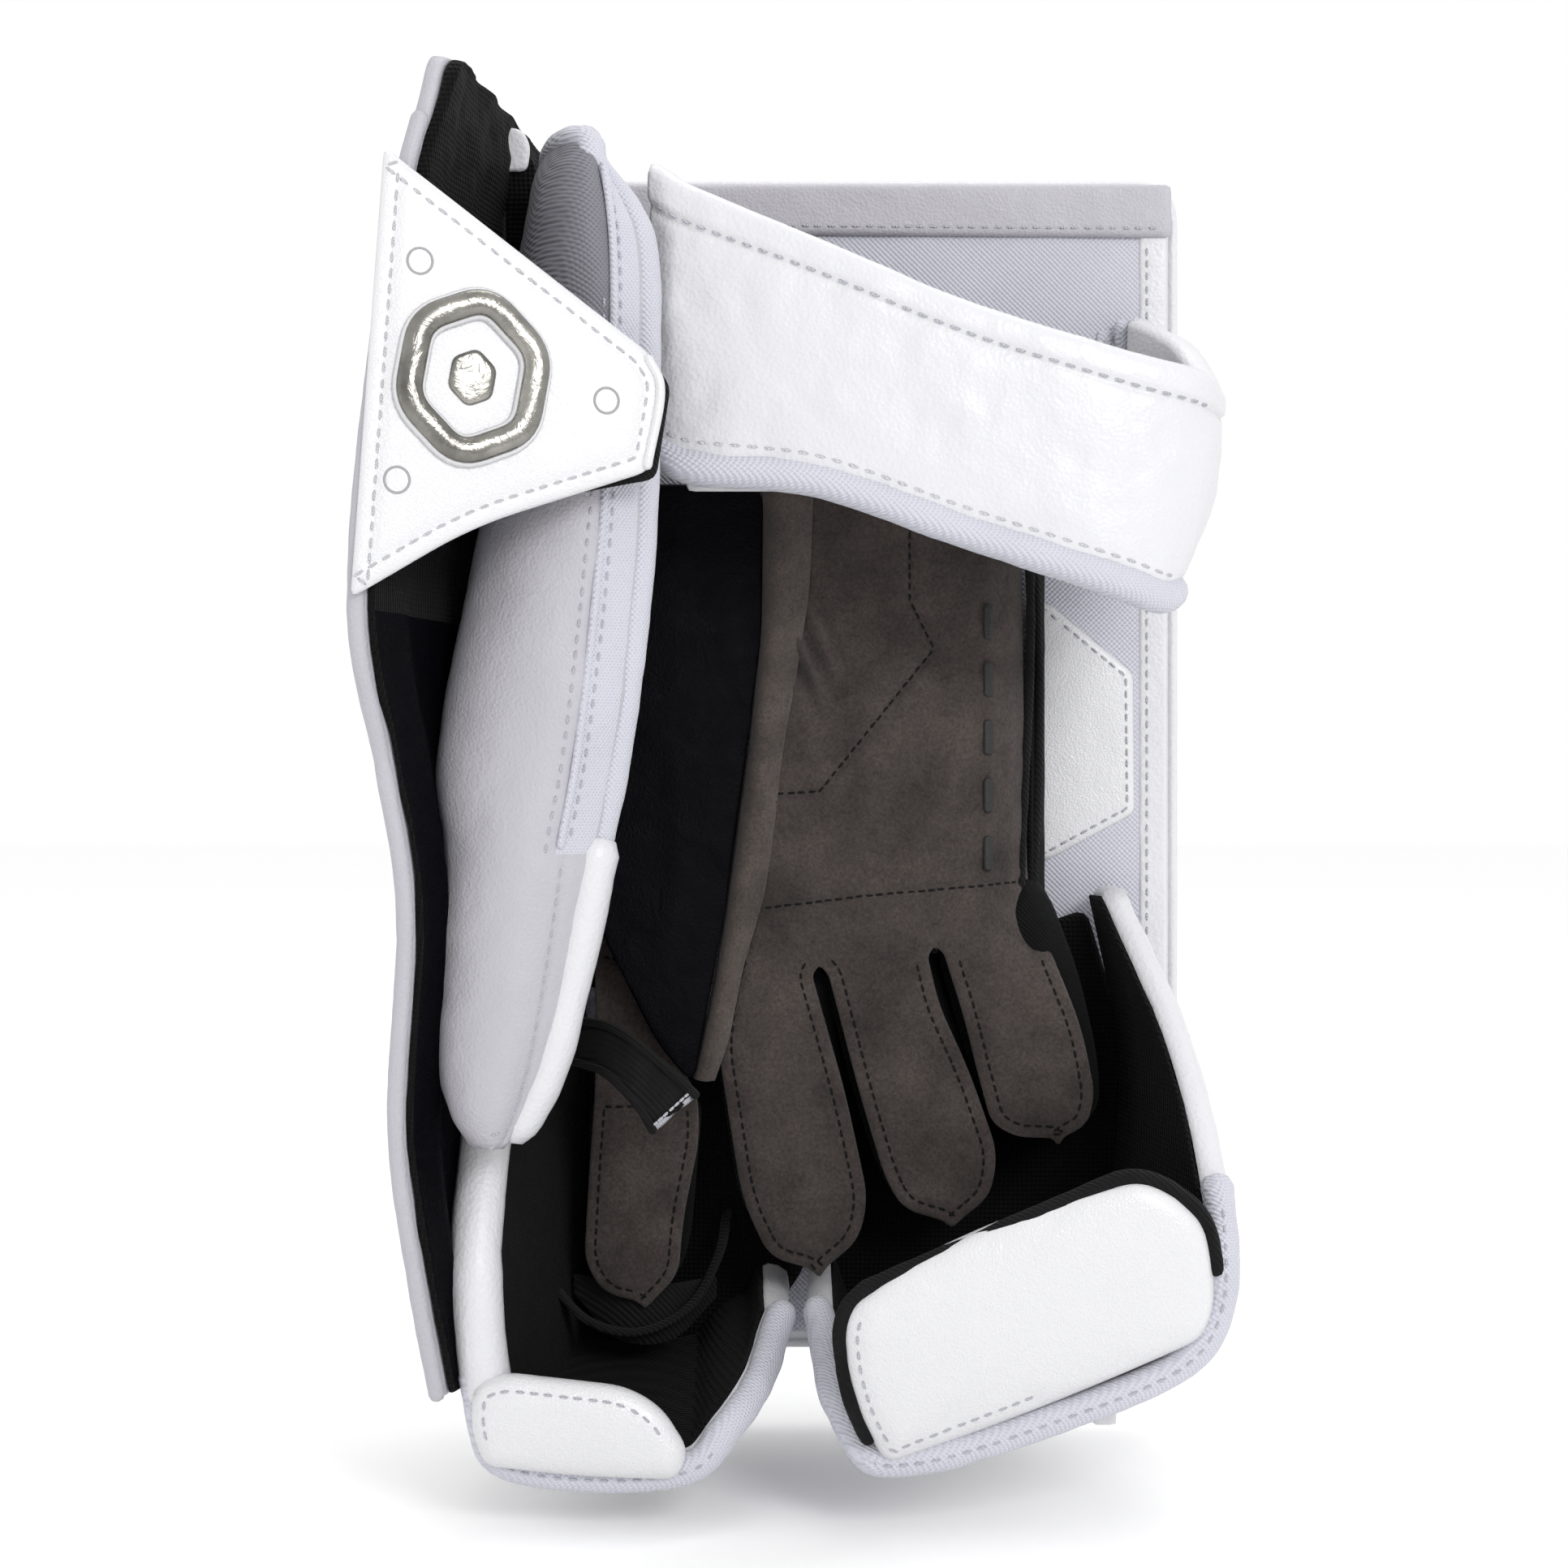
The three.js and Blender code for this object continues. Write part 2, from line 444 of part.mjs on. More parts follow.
// ---- Thumb guard ----
function makeThumbGuard() {
  const low = thumb.z - thumb.length - thumbtipClearance;
  const rim = [
    ...[[22, 30], [-20, 16], [-50, 3]].map(([up, drop]) =>
      [beside(thumb.z + up, thumbGuardDepth - drop, 4.5), thumb.z + up, thumbGuardDepth - drop]),
    [thumb.x - 48, low + 26, thumbGuardDepth],
    [thumb.x - 43, low + 7, thumbGuardDepth], [thumb.x - 12, low, thumbGuardDepth],
    [thumb.x + 18, low + 4, thumbGuardDepth], [thumb.x + 26, low + 14, thumbGuardDepth - 6],
    [thumb.x + 34, low + 26, 60], [thumb.x + 38, low + 37, 42],
  ];
  const rows = rim.map(([x, z, edge], i) => {
    const onSide = i < 4;
    const besideRoot = beside(Math.max(z, -0.9 * halfHeight), guardRoot, 4);
    const rootX = onSide ? besideRoot : Math.max(x, besideRoot);
    const rise = onSide && i < 3 ? 0 : guardFlare * (i < 8 ? 1 : 0.6);
    return [at(x, edge, z), at((x + rootX) / 2, (edge + guardRoot) / 2, z + rise / 2), at(rootX, guardRoot, z + rise)];
  });
  const surface = surfaceThrough(rows);
  sandwich(["thumb_guard_skin", "thumb_guard_foam", "thumb_guard_liner"], surface, thumbGuardFoam, 4, 24,
    [whiteLeather, blackMesh]);
  add("thumb_guard_binding", tube(besideEdge(surface, 0, 0.3, 1, 24, (thumbGuardFoam + layersAround) / 2,
    guardBindingRadius + 0.8), guardBindingRadius, 24), whiteMesh);
  const lipLow = thumbGuardDepth + 1.5, lipHigh = lipLow + 9;
  const lip = [[thumb.x - 36, low + 34], [thumb.x, low + 33], [thumb.x + 8, low + 24], [thumb.x + 13, low + 16],
    [thumb.x + 9, low + 14], [thumb.x - 35, low + 14]];
  add("thumb_guard_lip", plate(outline(lip, 5), lipLow, lipHigh), whiteLeather);
  const back = [[thumb.x - 22, thumb.z - 6], [thumb.x + 20, thumb.z - 6], [thumb.x + 22, low + 52],
    [thumb.x + 14, low + 34], [thumb.x - 22, low + 34]];
  add("thumb_guard_back", plate(outline(back, 6), 3, 9), blackMesh);
  add("thumb_elastic", plate(outline(rectangle(thumb.x - 18, thumb.x + 12, low + 27, low + 37), 2), 24, 26, 1), blackElastic);
}

makeBoard();
makeBackPatch();
makeSideBoard();
makeLiningTab();
makeFlap();
makeWing();
makeStrap();
makePalm();
makeThumbWeb();
fingers.forEach(makeFinger);
makeFinger({ ...thumb, name: "thumb_stall" });
makeFingerGuard();
makeThumbGuard();

export default root;
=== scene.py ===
"""Goalie blocker glove for the right hand. Sizes are in millimetres, and build() makes them metres."""
import bpy
import math
import numpy as np
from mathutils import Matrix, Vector, geometry, noise
from mathutils.bvhtree import BVHTree


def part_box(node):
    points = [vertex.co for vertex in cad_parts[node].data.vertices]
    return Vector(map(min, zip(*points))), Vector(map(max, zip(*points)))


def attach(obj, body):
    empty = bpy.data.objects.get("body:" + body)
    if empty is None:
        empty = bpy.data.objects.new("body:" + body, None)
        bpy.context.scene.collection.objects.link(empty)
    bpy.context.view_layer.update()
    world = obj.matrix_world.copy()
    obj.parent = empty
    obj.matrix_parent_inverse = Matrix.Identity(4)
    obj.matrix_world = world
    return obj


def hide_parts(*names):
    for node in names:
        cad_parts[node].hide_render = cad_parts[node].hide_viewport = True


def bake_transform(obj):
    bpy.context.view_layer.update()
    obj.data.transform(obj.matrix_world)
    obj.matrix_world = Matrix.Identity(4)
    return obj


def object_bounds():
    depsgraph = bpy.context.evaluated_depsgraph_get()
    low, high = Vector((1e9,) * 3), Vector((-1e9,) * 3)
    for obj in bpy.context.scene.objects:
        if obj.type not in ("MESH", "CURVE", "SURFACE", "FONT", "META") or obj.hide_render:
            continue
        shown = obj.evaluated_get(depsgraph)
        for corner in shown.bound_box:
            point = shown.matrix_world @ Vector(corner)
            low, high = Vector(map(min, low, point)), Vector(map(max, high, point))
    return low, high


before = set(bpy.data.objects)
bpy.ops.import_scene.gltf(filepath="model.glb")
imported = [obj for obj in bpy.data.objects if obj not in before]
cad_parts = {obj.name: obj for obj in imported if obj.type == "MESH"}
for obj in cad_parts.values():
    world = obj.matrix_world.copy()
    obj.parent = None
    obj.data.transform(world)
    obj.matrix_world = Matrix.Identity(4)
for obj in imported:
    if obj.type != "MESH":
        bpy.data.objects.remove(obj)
cad_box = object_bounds()
scene = bpy.context.scene
MM = 0.001


# ---------- numbers from the frame ----------
def lo(node, axis):
    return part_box(node)[0][axis] / MM


def hi(node, axis):
    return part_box(node)[1][axis] / MM


BACK = lo("board_back_panel", 1)               # y of the board's back face
FACE = hi("board_front_cover", 1)
TOP, BOTTOM = hi("board_edge_band", 2), lo("board_edge_band", 2)
LEFT, RIGHT = lo("board_edge_band", 0), hi("board_edge_band", 0)
HALF = TOP                                     # the board is centred on z = 0


def at(x, h, z):
    """A point from x, height above the board's back face and z."""
    return (x, BACK - h, z)


# ---------- materials ----------
def _node(tree, kind, **values):
    n = tree.nodes.new(kind)
    for k, v in values.items():
        if k in n.inputs:
            n.inputs[k].default_value = v
        else:
            setattr(n, k, v)
    return n


def _math(tree, op, a, b=None):
    n = tree.nodes.new("ShaderNodeMath")
    n.operation = op
    for i, v in enumerate((a, b)):
        if v is None:
            continue
        if isinstance(v, (int, float)):
            n.inputs[i].default_value = v
        else:
            tree.links.new(v, n.inputs[i])
    return n.outputs[0]


def _texture(tree, kind, coords, output, **values):
    """A texture node's output at coords."""
    n = _node(tree, kind, **values)
    tree.links.new(coords, n.inputs["Vector"])
    return n.outputs[output]


def _range(tree, source, low, high, to_low, to_high):
    """source, taken from low..high to to_low..to_high."""
    n = _node(tree, "ShaderNodeMapRange",
              **{"From Min": low, "From Max": high, "To Min": to_low, "To Max": to_high})
    tree.links.new(source, n.inputs["Value"])
    return n.outputs["Result"]


def _times(tree, colour, factor):
    """A colour multiplied by a value."""
    n = _node(tree, "ShaderNodeMix", data_type="RGBA", blend_type="MULTIPLY")
    n.inputs[0].default_value = 1.0
    tree.links.new(colour, n.inputs[6])
    tree.links.new(factor, n.inputs[7])
    return n.outputs[2]


def material(name, colour, rough, weave=0, weave_depth=0.00025, diagonal=False, grain=0, crease=0,
             vary=0.06, gap=0.0, sheen=0.0, coat=0.0, metallic=0.0, rough_vary=0.08, fuzz=0, rib=0,
             shine=0.5):
    """A procedural cloth, leather or metal. weave, grain, fuzz and rib are in metres."""
    m = bpy.data.materials.new(name)
    m.use_nodes = True
    t = m.node_tree
    link = t.links.new
    shader = t.nodes["Principled BSDF"]
    shader.inputs["Metallic"].default_value = metallic
    shader.inputs["Specular IOR Level"].default_value = shine
    if sheen:
        shader.inputs["Sheen Weight"].default_value = sheen
        shader.inputs["Sheen Roughness"].default_value = 0.5
    if coat:
        shader.inputs["Coat Weight"].default_value = coat
        shader.inputs["Coat Roughness"].default_value = 0.25
    coords = _node(t, "ShaderNodeTexCoord").outputs["Object"]
    broad = _texture(t, "ShaderNodeTexNoise", coords, "Fac", Scale=45.0, Detail=4.0, Roughness=0.6)
    ramp = _node(t, "ShaderNodeValToRGB")
    ramp.color_ramp.elements[0].position, ramp.color_ramp.elements[1].position = 0.3, 0.72
    ramp.color_ramp.elements[0].color = (*[c * (1 - vary) for c in colour], 1)
    ramp.color_ramp.elements[1].color = (*[min(1, c * (1 + vary * 0.6)) for c in colour], 1)
    link(broad, ramp.inputs["Fac"])
    out_colour = ramp.outputs["Color"]
    heights = []
    split = _node(t, "ShaderNodeSeparateXYZ")
    link(coords, split.inputs[0])
    x, y, z = split.outputs
    across = _math(t, "ADD", x, y)
    if weave:
        a, b = across, z
        if diagonal:
            a, b = _math(t, "ADD", across, z), _math(t, "SUBTRACT", across, z)
        k = 2 * math.pi / weave
        pattern = _math(t, "MULTIPLY", _math(t, "SINE", _math(t, "MULTIPLY", a, k)),
                        _math(t, "SINE", _math(t, "MULTIPLY", b, k)))
        pattern = _math(t, "ADD", _math(t, "MULTIPLY", pattern, 0.5), 0.5)
        heights.append((pattern, weave_depth))
        if gap:
            out_colour = _times(t, out_colour, _range(t, pattern, 0.0, 0.45, 1 - gap, 1.0))
    if rib:
        wave = _math(t, "SINE", _math(t, "MULTIPLY", _math(t, "ADD", across, z), 2 * math.pi / rib))
        heights.append((wave, 0.0002))
    if grain:
        heights.append((_texture(t, "ShaderNodeTexVoronoi", coords, "Distance", Scale=1 / grain), 0.00016))
    if fuzz:
        soft = _texture(t, "ShaderNodeTexNoise", coords, "Fac", Scale=1 / fuzz, Detail=6.0, Roughness=0.75)
        heights.append((soft, 0.0005))
        out_colour = _times(t, out_colour, _range(t, soft, 0.34, 0.66, 0.62, 1.3))
    if crease:
        folds = _texture(t, "ShaderNodeTexNoise", coords, "Fac", Scale=70.0, Detail=5.0, Roughness=0.62,
                         Distortion=1.4)
        heights.append((folds, crease))
    normal = None
    for source, depth in heights:
        bump = _node(t, "ShaderNodeBump", Strength=1.0, Distance=depth)
        link(source, bump.inputs["Height"])
        if normal is not None:
            link(normal, bump.inputs["Normal"])
        normal = bump.outputs["Normal"]
    if normal is not None:
        link(normal, shader.inputs["Normal"])
    fine = _texture(t, "ShaderNodeTexNoise", coords, "Fac", Scale=160.0, Detail=3.0)
    worn = _range(t, fine, 0.3, 0.7, max(0.02, rough - rough_vary), min(1.0, rough + rough_vary))
    link(worn, shader.inputs["Roughness"])
    link(out_colour, shader.inputs["Base Color"])
    return m


WHITE = material("white_leather", (0.60, 0.60, 0.622), 0.42, grain=0.0013, crease=0.0004,
                 vary=0.02, coat=0.12)
GLOSS = material("white_gloss", (0.62, 0.62, 0.635), 0.3, grain=0.0007, vary=0.015,
                 coat=0.4, crease=0.0003)
# A darker, lilac-grey copy of white leather: painted shade for the pieces that sit in shade.
PAINTED_SHADE_LEATHER = material("white_leather_painted_shade", (0.405, 0.394, 0.43), 0.5, grain=0.0010, crease=0.0004,
                 vary=0.03)
MESH = material("white_mesh", (0.555, 0.555, 0.625), 0.8, weave=0.0017, gap=0.16, vary=0.03,
                sheen=0.2, weave_depth=0.0004)
# A darker copy of white mesh: painted shade for the wing's top by the flap.
PAINTED_SHADE_MESH = material("white_mesh_painted_shade", (0.20, 0.196, 0.225), 0.8, weave=0.0017, gap=0.3, vary=0.1,
                sheen=0.1, weave_depth=0.0004)
KNIT = material("black_knit", (0.0045, 0.0045, 0.005), 0.8, weave=0.003, weave_depth=0.0007,
                diagonal=True, gap=0.6, vary=0.3, sheen=0.02, shine=0.1)
TWILL = material("black_twill", (0.0035, 0.0035, 0.004), 0.75, rib=0.0016, vary=0.3,
                 sheen=0.02, shine=0.1)
SATIN = material("black_lining", (0.0018, 0.0018, 0.003), 0.55, crease=0.0008, vary=0.3,
                 grain=0.0008, shine=0.045)
SUEDE = material("grey_suede", (0.058, 0.047, 0.043), 0.95, fuzz=0.0011, crease=0.0009,
                 vary=0.42, sheen=0.12, shine=0.12)
SUEDE_EDGE = material("suede_edge", (0.084, 0.069, 0.062), 0.95, fuzz=0.0009, vary=0.4,
                      sheen=0.12, shine=0.12)
ELASTIC = material("black_elastic", (0.007, 0.007, 0.0075), 0.85, rib=0.0022, vary=0.3,
                   sheen=0.03, shine=0.15)
THREAD = material("white_thread", (0.66, 0.66, 0.70), 0.7, rib=0.0009, vary=0.05)
GREY_THREAD = material("grey_thread", (0.56, 0.56, 0.62), 0.7, rib=0.0009, vary=0.05)
BLACK_THREAD = material("black_thread", (0.008, 0.008, 0.008), 0.7, rib=0.0009, vary=0.2,
                        shine=0.2)
CHROME = material("emblem_chrome", (0.27, 0.262, 0.24), 0.2, metallic=1.0, vary=0.6, crease=0.0006,
                  rough_vary=0.06)
PRINT = material("grey_print", (0.30, 0.30, 0.31), 0.5, vary=0.05)
DARK_PRINT = material("dark_print", (0.018, 0.017, 0.017), 0.55, vary=0.2, grain=0.001,
                      shine=0.3)
STAGE = material("pale_floor", (0.985, 0.985, 0.985), 0.9, vary=0.01)


# ---------- mesh helpers ----------
def rows_at(points, t):
    """Centripetal Catmull-Rom through points[0], points[1]..., each an array, at positions t from 0 to 1."""
    p = np.asarray(points, float)
    n = len(p)
    p = np.concatenate([[2 * p[0] - p[1]], p, [2 * p[-1] - p[-2]]])
    s = np.clip(np.asarray(t, float), 0, 1) * (n - 1)
    i = np.minimum(s.astype(int), n - 2)
    w = (s - i).reshape((-1,) + (1,) * (p.ndim - 1))
    a, b, c, d = (p[i + k] for k in range(4))

    def span(q, r):
        return np.maximum(((q - r) ** 2).sum(-1, keepdims=True) ** 0.25, 1e-4)

    d0, d1, d2 = span(a, b), span(b, c), span(c, d)
    m1 = ((b - a) / d0 - (c - a) / (d0 + d1) + (c - b) / d1) * d1
    m2 = ((c - b) / d1 - (d - b) / (d1 + d2) + (d - c) / d2) * d1
    return b + m1 * w + (3 * c - 3 * b - 2 * m1 - m2) * w ** 2 + (2 * b - 2 * c + m1 + m2) * w ** 3


class Patch:
    """A smooth surface through rows of points, sampled nu by nv. u runs along a row, v from row to row."""

    def __init__(self, rows, nu, nv):
        u, v = np.linspace(0, 1, nu + 1), np.linspace(0, 1, nv + 1)
        along = rows_at(np.asarray(rows, float).transpose(1, 0, 2), u)
        self.p = rows_at(along.transpose(1, 0, 2), v).transpose(1, 0, 2)
        du, dv = np.gradient(self.p, axis=0), np.gradient(self.p, axis=1)
        n = np.cross(du, dv)
        self.n = n / np.maximum(np.linalg.norm(n, axis=2, keepdims=True), 1e-9)
        self.u, self.v = np.meshgrid(u, v, indexing="ij")

    def point(self, u, v, depth=0.0):
        """Points (and normals) at arrays u, v, under the surface by depth."""
        nu, nv = self.p.shape[0] - 1, self.p.shape[1] - 1
        a, b = np.clip(np.asarray(u, float), 0, 1) * nu, np.clip(np.asarray(v, float), 0, 1) * nv
        i, j = np.minimum(a.astype(int), nu - 1), np.minimum(b.astype(int), nv - 1)
        fa, fb = (a - i)[:, None], (b - j)[:, None]

        def mix(g):
            return (g[i, j] * (1 - fa) * (1 - fb) + g[i + 1, j] * fa * (1 - fb)
                    + g[i, j + 1] * (1 - fa) * fb + g[i + 1, j + 1] * fa * fb)

        n = mix(self.n)
        return mix(self.p) - n * depth, n

    def line(self, u, v, count, depth=0.0):
        """Points and normals along a line. u and v are each one value or a (first, last) pair."""
        ends = [q if isinstance(q, tuple) else (q, q) for q in (u, v)]
        return self.point(*(np.linspace(first, last, count) for first, last in ends), depth)

    def edge(self, side, v0, v1, count, depth, beyond):
        """Points past the edge at u = side."""
        v = np.linspace(v0, v1, count)
        p, n = self.point(np.full(count, float(side)), v, depth)
        q, _ = self.point(np.full(count, 0.06 if side == 0 else 0.94), v, depth)
        t = np.gradient(p, axis=0)
        out = np.cross(t, n)
        out /= np.maximum(np.linalg.norm(out, axis=1, keepdims=True), 1e-9)
        out *= np.sign((out * (p - q)).sum(1, keepdims=True))
        return p + out * beyond


def build(name, verts, faces, mats, indices=None):
    """A smooth mesh object from points in millimetres."""
    mesh = bpy.data.meshes.new(name)
    mesh.from_pydata((np.asarray(verts, float) * MM).tolist(), [], [list(map(int, f)) for f in faces])
    for m in mats if isinstance(mats, (list, tuple)) else [mats]:
        mesh.materials.append(m)
    if indices is not None:
        mesh.polygons.foreach_set("material_index", np.asarray(indices, dtype=np.int32))
    mesh.polygons.foreach_set("use_smooth", np.ones(len(mesh.polygons), bool))
    mesh.update()
    obj = bpy.data.objects.new(name, mesh)
    scene.collection.objects.link(obj)
    return obj


# flat width, length and area of each cut piece, in metres
FLAT = {}


def fit(obj, how, nodes=(), sheet=None):
    """Attaches a piece to its body, or, for a pair of bodies, bakes its place into its mesh, and hides the
    frame's nodes that it stands for. For a sheet it works out the smaller of its flat area and width times
    length, and keeps nothing."""
    if isinstance(how, str):
        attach(obj, how)
    else:
        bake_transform(obj)
    if nodes:
        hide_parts(*nodes)
    if sheet and min(FLAT[obj.name][:2]) >= 0.01:
        width, length, area = FLAT[obj.name]
        min(area, width * length)
    return obj


def ripple(points, size, seed, octaves=3):
    """Smooth noise from -1 to 1 at points, with features of about size mm."""
    shift = Vector((seed * 17.3, seed * 5.1, seed * 9.7))
    flat = points.reshape(-1, 3)
    values = [noise.fractal(Vector(q) / size + shift, 0.9, 2.1, octaves) for q in flat.tolist()]
    return np.asarray(values).reshape(points.shape[:-1])


def shell(name, patch, near, far, mats, puff=0.0, wrinkle=0.0, size=30, seed=1, lift=None, sag=None,
          roll=0.5, pick=None):
    """The closed, round-edged piece between two depths under a patch. lift adds height to its outer side,
    and sag to its inner side. pick chooses the materials of the outer and the inner side at a place."""
    p, n = patch.p, patch.n
    u, v = patch.u, patch.v
    rise = puff * np.sqrt(np.clip(np.sin(np.pi * u), 0, 1) * np.clip(np.sin(np.pi * v), 0, 1))
    if wrinkle:
        rise = rise + wrinkle * ripple(p, size, seed)
    if lift is not None:
        rise = rise + lift(u, v, p)
    outer, inner = p + n * (rise - near)[..., None], p - n * far
    inner = inner + n * (0.3 * wrinkle * ripple(p, size, seed + 3))[..., None] if wrinkle else inner
    if sag is not None:
        inner = inner - n * sag(u, v, p)[..., None]
    nu, nv = u.shape
    loop = ([(i, 0) for i in range(nu)] + [(nu - 1, j) for j in range(1, nv)]
            + [(i, nv - 1) for i in range(nu - 2, -1, -1)] + [(0, j) for j in range(nv - 2, 0, -1)])
    verts = np.concatenate([outer.reshape(-1, 3), inner.reshape(-1, 3)])
    total = nu * nv
    faces, kinds = [], []
    for i in range(nu - 1):
        for j in range(nv - 1):
            a = i * nv + j
            faces.append((a, a + nv, a + nv + 1, a + 1))
            faces.append((total + a, total + a + 1, total + a + nv + 1, total + a + nv))
            kinds += pick(u[i, j], v[i, j], p[i, j]) if pick else (0, len(mats) - 1)
    width = np.linalg.norm(np.diff(p, axis=0), axis=2).sum(0).max()
    length = np.linalg.norm(np.diff(p, axis=1), axis=2).sum(1).max()
    area = np.linalg.norm(np.cross(p[1:, :-1] - p[:-1, :-1], p[:-1, 1:] - p[:-1, :-1]), axis=2).sum()
    FLAT[name] = (width * MM, length * MM, area * MM * MM)
    rim = np.array([outer[a] for a in loop]), np.array([inner[a] for a in loop])
    mid = np.array([p[min(max(i, 1), nu - 2), min(max(j, 1), nv - 2)] for i, j in loop])
    centre, half = (rim[0] + rim[1]) / 2, (rim[0] - rim[1]) / 2
    thick = np.linalg.norm(half, axis=1, keepdims=True)
    out = centre - mid
    out -= half * (out * half).sum(1, keepdims=True) / np.maximum(thick ** 2, 1e-9)
    out /= np.maximum(np.linalg.norm(out, axis=1, keepdims=True), 1e-9)
    rings = [np.array([i * nv + j for i, j in loop])]
    for angle in (45, 90, 135):
        c, s = math.cos(math.radians(angle)), math.sin(math.radians(angle))
        rings.append(len(verts) + np.arange(len(loop)))
        verts = np.concatenate([verts, centre + half * c + out * thick * s * roll])
    rings.append(total + rings[0])
    for a, b in zip(rings, rings[1:]):
        for k in range(len(loop)):
            m = (k + 1) % len(loop)
            faces.append((a[m], a[k], b[k], b[m]))
            kinds.append(0)
    return build(name, verts, faces, mats, kinds)


def inside(poly, pts):
    """Which points lie in a closed outline."""
    x, y = pts[:, 0], pts[:, 1]
    hit = np.zeros(len(pts), bool)
    for (x0, y0), (x1, y1) in zip(poly, np.roll(poly, -1, axis=0)):
        cross = (y0 > y) != (y1 > y)
        with np.errstate(divide="ignore", invalid="ignore"):
            hit ^= cross & (x < (x1 - x0) * (y - y0) / (y1 - y0) + x0)
    return hit


def to_line(line, pts):
    """How far each point is from an open line."""
    best = np.full(len(pts), 1e9)
    for a, b in zip(line, line[1:]):
        ab = b - a
        t = np.clip(((pts - a) @ ab) / max(ab @ ab, 1e-9), 0, 1)
        best = np.minimum(best, np.linalg.norm(pts - a - t[:, None] * ab, axis=1))
    return best


def to_edge(poly, pts):
    """How far each point is from a closed outline."""
    return to_line(np.concatenate([poly, poly[:1]]), pts)


def rounded(corners, radius, step=2.0):
    """A closed outline with rounded corners, its points step mm apart. A corner may state its own radius."""
    c = np.array([q[:2] for q in corners], float)
    path = []
    for i in range(len(c)):
        r = corners[i][2] if len(corners[i]) > 2 else radius
        a, b = c[i - 1] - c[i], c[(i + 1) % len(c)] - c[i]
        la, lb = np.linalg.norm(a), np.linalg.norm(b)
        cut = min(r, la / 2.1, lb / 2.1)
        s, e = c[i] + a / la * cut, c[i] + b / lb * cut
        for t in np.linspace(0, 1, 7):
            path.append((1 - t) ** 2 * s + 2 * t * (1 - t) * c[i] + t * t * e)
    return spaced(np.array(path), step, closed=True)


def spaced(points, step, closed=False):
    """The same line with points at even steps."""
    q = np.asarray(points, float)
    if closed:
        q = np.concatenate([q, q[:1]])
    seg = np.linalg.norm(np.diff(q, axis=0), axis=1)
    keep = np.concatenate([[True], seg > 1e-6])
    q, s = q[keep], np.concatenate([[0], np.cumsum(seg[seg > 1e-6])])
    count = max(int(s[-1] / step), 3)
    t = np.linspace(0, s[-1], count + 1)
    out = np.stack([np.interp(t, s, q[:, k]) for k in range(q.shape[1])], 1)
    return out[:-1] if closed else out


def filled(name, outline, y_of, front, back, mats, edge=3.0, crown=0.0, crown_at=15.0, step=2.6, wrinkle=0.0,
           size=25, seed=2, pull=None, boxy=2):
    """A closed piece of an x, z outline. It stands front mm before y_of(x, z) and back mm behind it, with
    a round edge, and swells by crown towards its middle."""
    poly = np.asarray(outline, float)
    x0, z0 = poly.min(0)
    x1, z1 = poly.max(0)
    gx, gz = np.meshgrid(np.arange(x0, x1, step), np.arange(z0, z1, step * 0.87), indexing="ij")
    gx = gx + (np.arange(gx.shape[1]) % 2) * step / 2
    grid = np.stack([gx.ravel(), gz.ravel()], 1)
    grid = grid[inside(poly, grid)]
    turned = np.roll(poly, -1, axis=0)
    cut = abs((poly[:, 0] * turned[:, 1] - turned[:, 0] * poly[:, 1]).sum()) / 2 * MM * MM
    FLAT[name] = ((x1 - x0) * MM, (z1 - z0) * MM, cut)
    rings, deep = [], 0.0
    for share in (0.04, 0.14, 0.32, 0.6, 1.0):
        by = share * edge
        ring = inset(poly, by)[:-1]
        near = to_edge(poly, ring)
        ring = ring[inside(poly, ring) & (np.abs(near - by) < 0.06 * by + 0.02)]
        if len(ring) > 0.35 * len(poly):
            rings.append(ring)
            deep = by
    grid = grid[to_edge(poly, grid) > max(step * 0.5, deep + step * 0.4)]
    pts = np.concatenate([poly, *rings, grid])
    made = geometry.delaunay_2d_cdt([Vector(q) for q in pts.tolist()], [], [list(range(len(poly)))], 1, 1e-5)
    flat, tris = np.array([tuple(q) for q in made[0]]), [tuple(f) for f in made[2]]
    d = to_edge(poly, flat)
    rim = d < 1e-3
    w = np.clip(1 - (1 - np.clip(d / edge, 0, 1)) ** boxy, 0, 1) ** (1 / boxy)
    y = y_of(flat[:, 0], flat[:, 1])
    swell = crown * (1 - np.exp(-d / crown_at))
    if pull is not None:
        swell = swell + pull(flat[:, 0], flat[:, 1], d)
    base = np.stack([flat[:, 0], y, flat[:, 1]], 1)
    if wrinkle:
        swell = swell + wrinkle * ripple(base, size, seed) * w
    fore = base - np.array([0, 1, 0]) * (front * w + swell * w)[:, None]
    aft = base + np.array([0, 1, 0]) * (back * w)[:, None]
    other = np.where(rim, np.arange(len(flat)), len(flat) + np.arange(len(flat)))
    area = lambda f: np.cross(np.append(flat[f[1]] - flat[f[0]], 0),
                              np.append(flat[f[2]] - flat[f[0]], 0))[2]
    faces = []
    for f in tris:
        if area(f) < 0:
            f = f[::-1]
        faces.append(f)
        g = tuple(other[k] for k in f[::-1])
        if len(set(g)) == 3 and set(g) != set(f):
            faces.append(g)
    verts = np.concatenate([fore, aft])
    used = np.zeros(len(verts), bool)
    for f in faces:
        used[list(f)] = True
    renumber = np.cumsum(used) - 1
    faces = [tuple(renumber[list(f)]) for f in faces]
    return build(name, verts[used], faces, mats)


